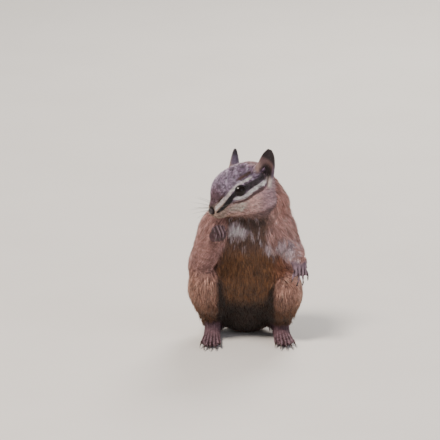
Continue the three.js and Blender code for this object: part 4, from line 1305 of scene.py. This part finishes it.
def makeNose():
    rounded = voxelObject(nodeShape("nose"), "nose", nosePlan["voxel"])
    rounded.modifiers.new("Smooth", "SMOOTH").iterations = nosePlan["smoothing"]
    mesh = finalMesh(rounded)
    mesh.transform(toWorld)
    finish = moistSkinMaterial(
        "moist_nose_skin", nosePlan["tones"], nosePlan["roughness"], nosePlan["grain"]
    )
    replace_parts(showPiece(mesh, "nose_pad", finish), "nose")


makeNose()


# Lips: two thin rims round the front of the muzzle, laid on the skin.

lipPlan = {"from": (0, -9.5), "upper": (-5.15, 76, 0.24), "lower": (-5.75, 64, 0.3), "rise": 1.4}


def makeLips():
    finish = moistSkinMaterial("lip_skin", ("4a3533", "261b1a"), 0.5, 0.25)
    for name in ("upper", "lower"):
        height, widest, radius = lipPlan[name]
        points = []
        for across in np.linspace(-1, 1, 25):
            turn = math.radians(across * widest)
            start = inHead((*lipPlan["from"], height + lipPlan["rise"] * across**2))
            way = np.array((math.sin(turn), -math.cos(turn), 0)) @ headTurn.T
            hit = skinTree.ray_cast(Vector(start), Vector(way), 12)[0]
            if hit is not None:
                points.append(np.array(hit) - way * 0.02)
        path = smoothPath(points[::3] if len(points[::3]) > 3 else points, 40)
        share = np.linspace(0, 1, len(path))
        radii = radius * np.sqrt(np.clip(np.sin(math.pi * share), 0.03, 1))
        shape = bmesh.new()
        addSweep(shape, path, np.outer(radii, (1, 0.8)), 8, np.array((0, 0, 1)) @ headTurn.T)
        finishPiece(shape, "lip_" + name, finish)


makeLips()


# Claws, one at the end of each finger and toe.

def digitEnd(root, direction, palm, lengths, bends):  # where a digit ends, and which way it points there
    axis = unit(np.cross(direction, palm))
    heading, point = direction, root
    for length, bend in zip(lengths, bends):
        heading = turned(heading, axis, bend)
        point = point + heading * length
    return point, heading


def handDigits(side):
    plan, grip = digitPlan["hand"], digitPlan["grips"][side]
    wrist = joints[side]["wrist"] + grip["offset"]
    heading = unit(grip["along"])
    palm = np.array(grip["palm"])
    inward = unit(palm - heading * palm.dot(heading))
    across = unit(np.cross(heading, inward))
    knuckles = wrist + heading * plan["palmLength"]
    for number, size in enumerate(plan["sizes"]):
        place = (number - 1.5) / 1.5
        root = knuckles + across * place * (plan["palmHalfWidth"] - plan["fingerHalfWidth"])
        root = root - heading * (0.8 + 0.5 * abs(place))
        direction = unit(heading + across * place * grip["spread"])
        tip, way = digitEnd(root, direction, inward, np.array(plan["fingers"]) * size, grip["bends"])
        yield tip, way, inward, plan["claw"]
    thumb = wrist + heading * 2.2 + across * (plan["palmHalfWidth"] - 0.9)
    tip, way = digitEnd(thumb, unit(across + heading * 0.7), inward, (1.1, 0.8), (10, 25))
    yield tip, way, inward, plan["thumbClaw"]


def footDigits(side):
    plan = digitPlan["foot"]
    heel, toes = joints[side]["heel"], joints[side]["toes"]
    forward = unit((toes - heel) * (1, 1, 0))
    across = np.array((-forward[1], forward[0], 0))
    down = np.array((0, 0, -1.0))
    for number, size in enumerate(plan["sizes"]):
        place = (number - 2) / 2
        ball = toes + across * place * plan["halfWidth"] - forward * 2.2 * place * place
        root = np.array((ball[0], ball[1], 1.7)) - forward * 0.8
        direction = unit(forward + across * place * plan["spread"] + (0, 0, 0.3))
        tip, way = digitEnd(root, direction, down, np.array(plan["toes"]) * size, (2, 20, 10))
        yield tip, way, down, plan["claw"]


def makeClaws():
    # Claw horn: dark, smooth and a little paler in streaks.
    horn = mingledMaterial(
        "claw_horn", {"Scale": 2500.0, "Detail": 3.0}, ("1d1614", "4d3a31"),
        {"Roughness": 0.32, "IOR": 1.54, "Coat Weight": 0.2},
    )
    share = np.linspace(0, 1, 9)
    radii = digitPlan["clawRadius"] * (1 - share**1.3) + digitPlan["clawTip"]
    for side in ("right", "left"):
        for limb, digits in (("hand", handDigits(side)), ("foot", footDigits(side))):
            shape = bmesh.new()
            for tip, way, palm, claw in digits:
                bend = [
                    tip - way * 0.8 - palm * 0.12, tip + way * claw * 0.45 - palm * 0.05,
                    tip + way * claw * 0.85 + palm * claw * 0.55,
                ]
                path = smoothPath(bend, len(share))
                aboveFloor(path, skinPlan["clearance"])
                addSweep(shape, path, np.outer(radii, (0.8, 1)), 8, palm)
            finishPiece(shape, f"claws_{limb}_{side}", horn)
    print("claws made")


makeClaws()


# Whiskers, in rows on the pads beside the nose.

# A root's place and a whisker's way: the first one's, and what each place along a row and each row adds.
whiskerPlan = {
    "rows": 3, "inRow": 4, "length": (8, 17), "radius": 0.085, "sag": 0.12, "sweep": 0.06,
    "root": ((2.6, -13.8, -2.0), (0.45, 1.15, 0), (0, 0, -0.95)),
    "way": ((0.95, -0.34, 0.28), (0, 0.2, 0), (0.06, 0, -0.26)),
}


def whiskerValue(key, side, row, number):
    first, alongRow, perRow = np.array(whiskerPlan[key])
    return (first + alongRow * number + perRow * row) * (side, 1, 1)


def makeWhiskers():
    shape = bmesh.new()
    share = np.linspace(0, 1, 14)
    radii = whiskerPlan["radius"] * (1 - 0.85 * share)
    for side in (1, -1):
        for row in range(whiskerPlan["rows"]):
            for number in range(whiskerPlan["inRow"]):
                start = inHead(whiskerValue("root", side, row, number) - (side * 0.8, 0, 0))
                way = whiskerValue("way", side, row, number) + dice.normal(size=3) * 0.05
                way = unit(way) @ headTurn.T
                hit = skinTree.ray_cast(Vector(start), Vector(way), 6)[0]
                start = np.array(hit) if hit is not None else start
                backward = (number + 0.6 * (row == 1)) / whiskerPlan["inRow"]
                length = mix(*whiskerPlan["length"], backward) * dice.uniform(0.9, 1.05)
                path = start + way * (share * length)[:, None] - way * 0.3
                path[:, 2] -= whiskerPlan["sag"] * length * share**2
                path[:, 1] += whiskerPlan["sweep"] * length * share**2
                addSweep(shape, path, np.outer(radii, (1, 1)), 5, (0.1, 0.2, 1))
    # Stiff single hairs, dark and slightly glossy.
    finish = mingledMaterial(
        "whisker_hair", {"Scale": 300.0, "Detail": 1.0}, ("2a2220", "5a4c46"), {"Roughness": 0.4, "IOR": 1.55}
    )
    finishPiece(shape, "whiskers", finish)


makeWhiskers()
print("whiskers made")


# Floor, light and camera. Each lamp has its place, size, power and colour.

stagePlan = {
    "floorHalf": 1.4, "middle": (0, 0, 0.04), "worldColour": "e6e8ec", "worldStrength": 0.42,
    "lamps": {
        "key": ((-0.34, -0.42, 0.86), 0.3, 13.0, "fff3e8"), "fill": ((0.62, -0.5, 0.3), 0.5, 2.0, "eef1ff"),
        "rim": ((0.2, 0.62, 0.55), 0.4, 6.5, "fff8f0"),
    },
}
cameraPlan = {
    "elevation": 14, "lens": 500, "sensor": 36, "pixelsPerMm": 2.45, "frame": 440,
    "target": (-10.61, -8, 51.63),
}


def makeFloor():
    shape = bmesh.new()
    bmesh.ops.create_grid(shape, x_segments=24, y_segments=24, size=stagePlan["floorHalf"])
    mesh = asMesh(shape, "floor")
    # Matt painted board, pale and faintly mottled.
    mesh.materials.append(mingledMaterial(
        "matt_painted_board", {"Scale": 18.0, "Detail": 3.0}, ("d4d0ca", "dcd9d4"),
        {"Roughness": 0.75, "IOR": 1.5},
    ))
    addObject("floor", mesh)


def addAimed(name, data, place, target):  # a lamp or a camera that looks at a point
    thing = addObject(name, data)
    thing.location = place
    thing.rotation_euler = (Vector(target) - Vector(place)).to_track_quat("-Z", "Y").to_euler()
    return thing


def makeLight():
    for name, (place, size, power, colour) in stagePlan["lamps"].items():
        data = bpy.data.lights.new(name, "AREA")
        data.shape = "DISK"
        data.size = size
        data.energy = power
        data.color = hexColour(colour)
        addAimed(name, data, place, stagePlan["middle"])
    world = bpy.data.worlds.new("studio")
    bpy.context.scene.world = world
    world.use_nodes = True
    background = world.node_tree.nodes["Background"]
    background.inputs["Color"].default_value = (*hexColour(stagePlan["worldColour"]), 1)
    background.inputs["Strength"].default_value = stagePlan["worldStrength"]


def makeCamera():
    data = bpy.data.cameras.new("camera")
    data.lens = cameraPlan["lens"]
    data.sensor_width = cameraPlan["sensor"]
    data.clip_start = 0.1
    data.clip_end = 20
    distance = cameraPlan["frame"] / cameraPlan["pixelsPerMm"] * cameraPlan["lens"] / cameraPlan["sensor"]
    tilt = math.radians(cameraPlan["elevation"])
    target = np.array(cameraPlan["target"]) + shift
    place = (target + distance * np.array((0, -math.cos(tilt), math.sin(tilt)))) / 1000
    bpy.context.scene.camera = addAimed("camera", data, place, target / 1000)


makeFloor()
makeLight()
makeCamera()
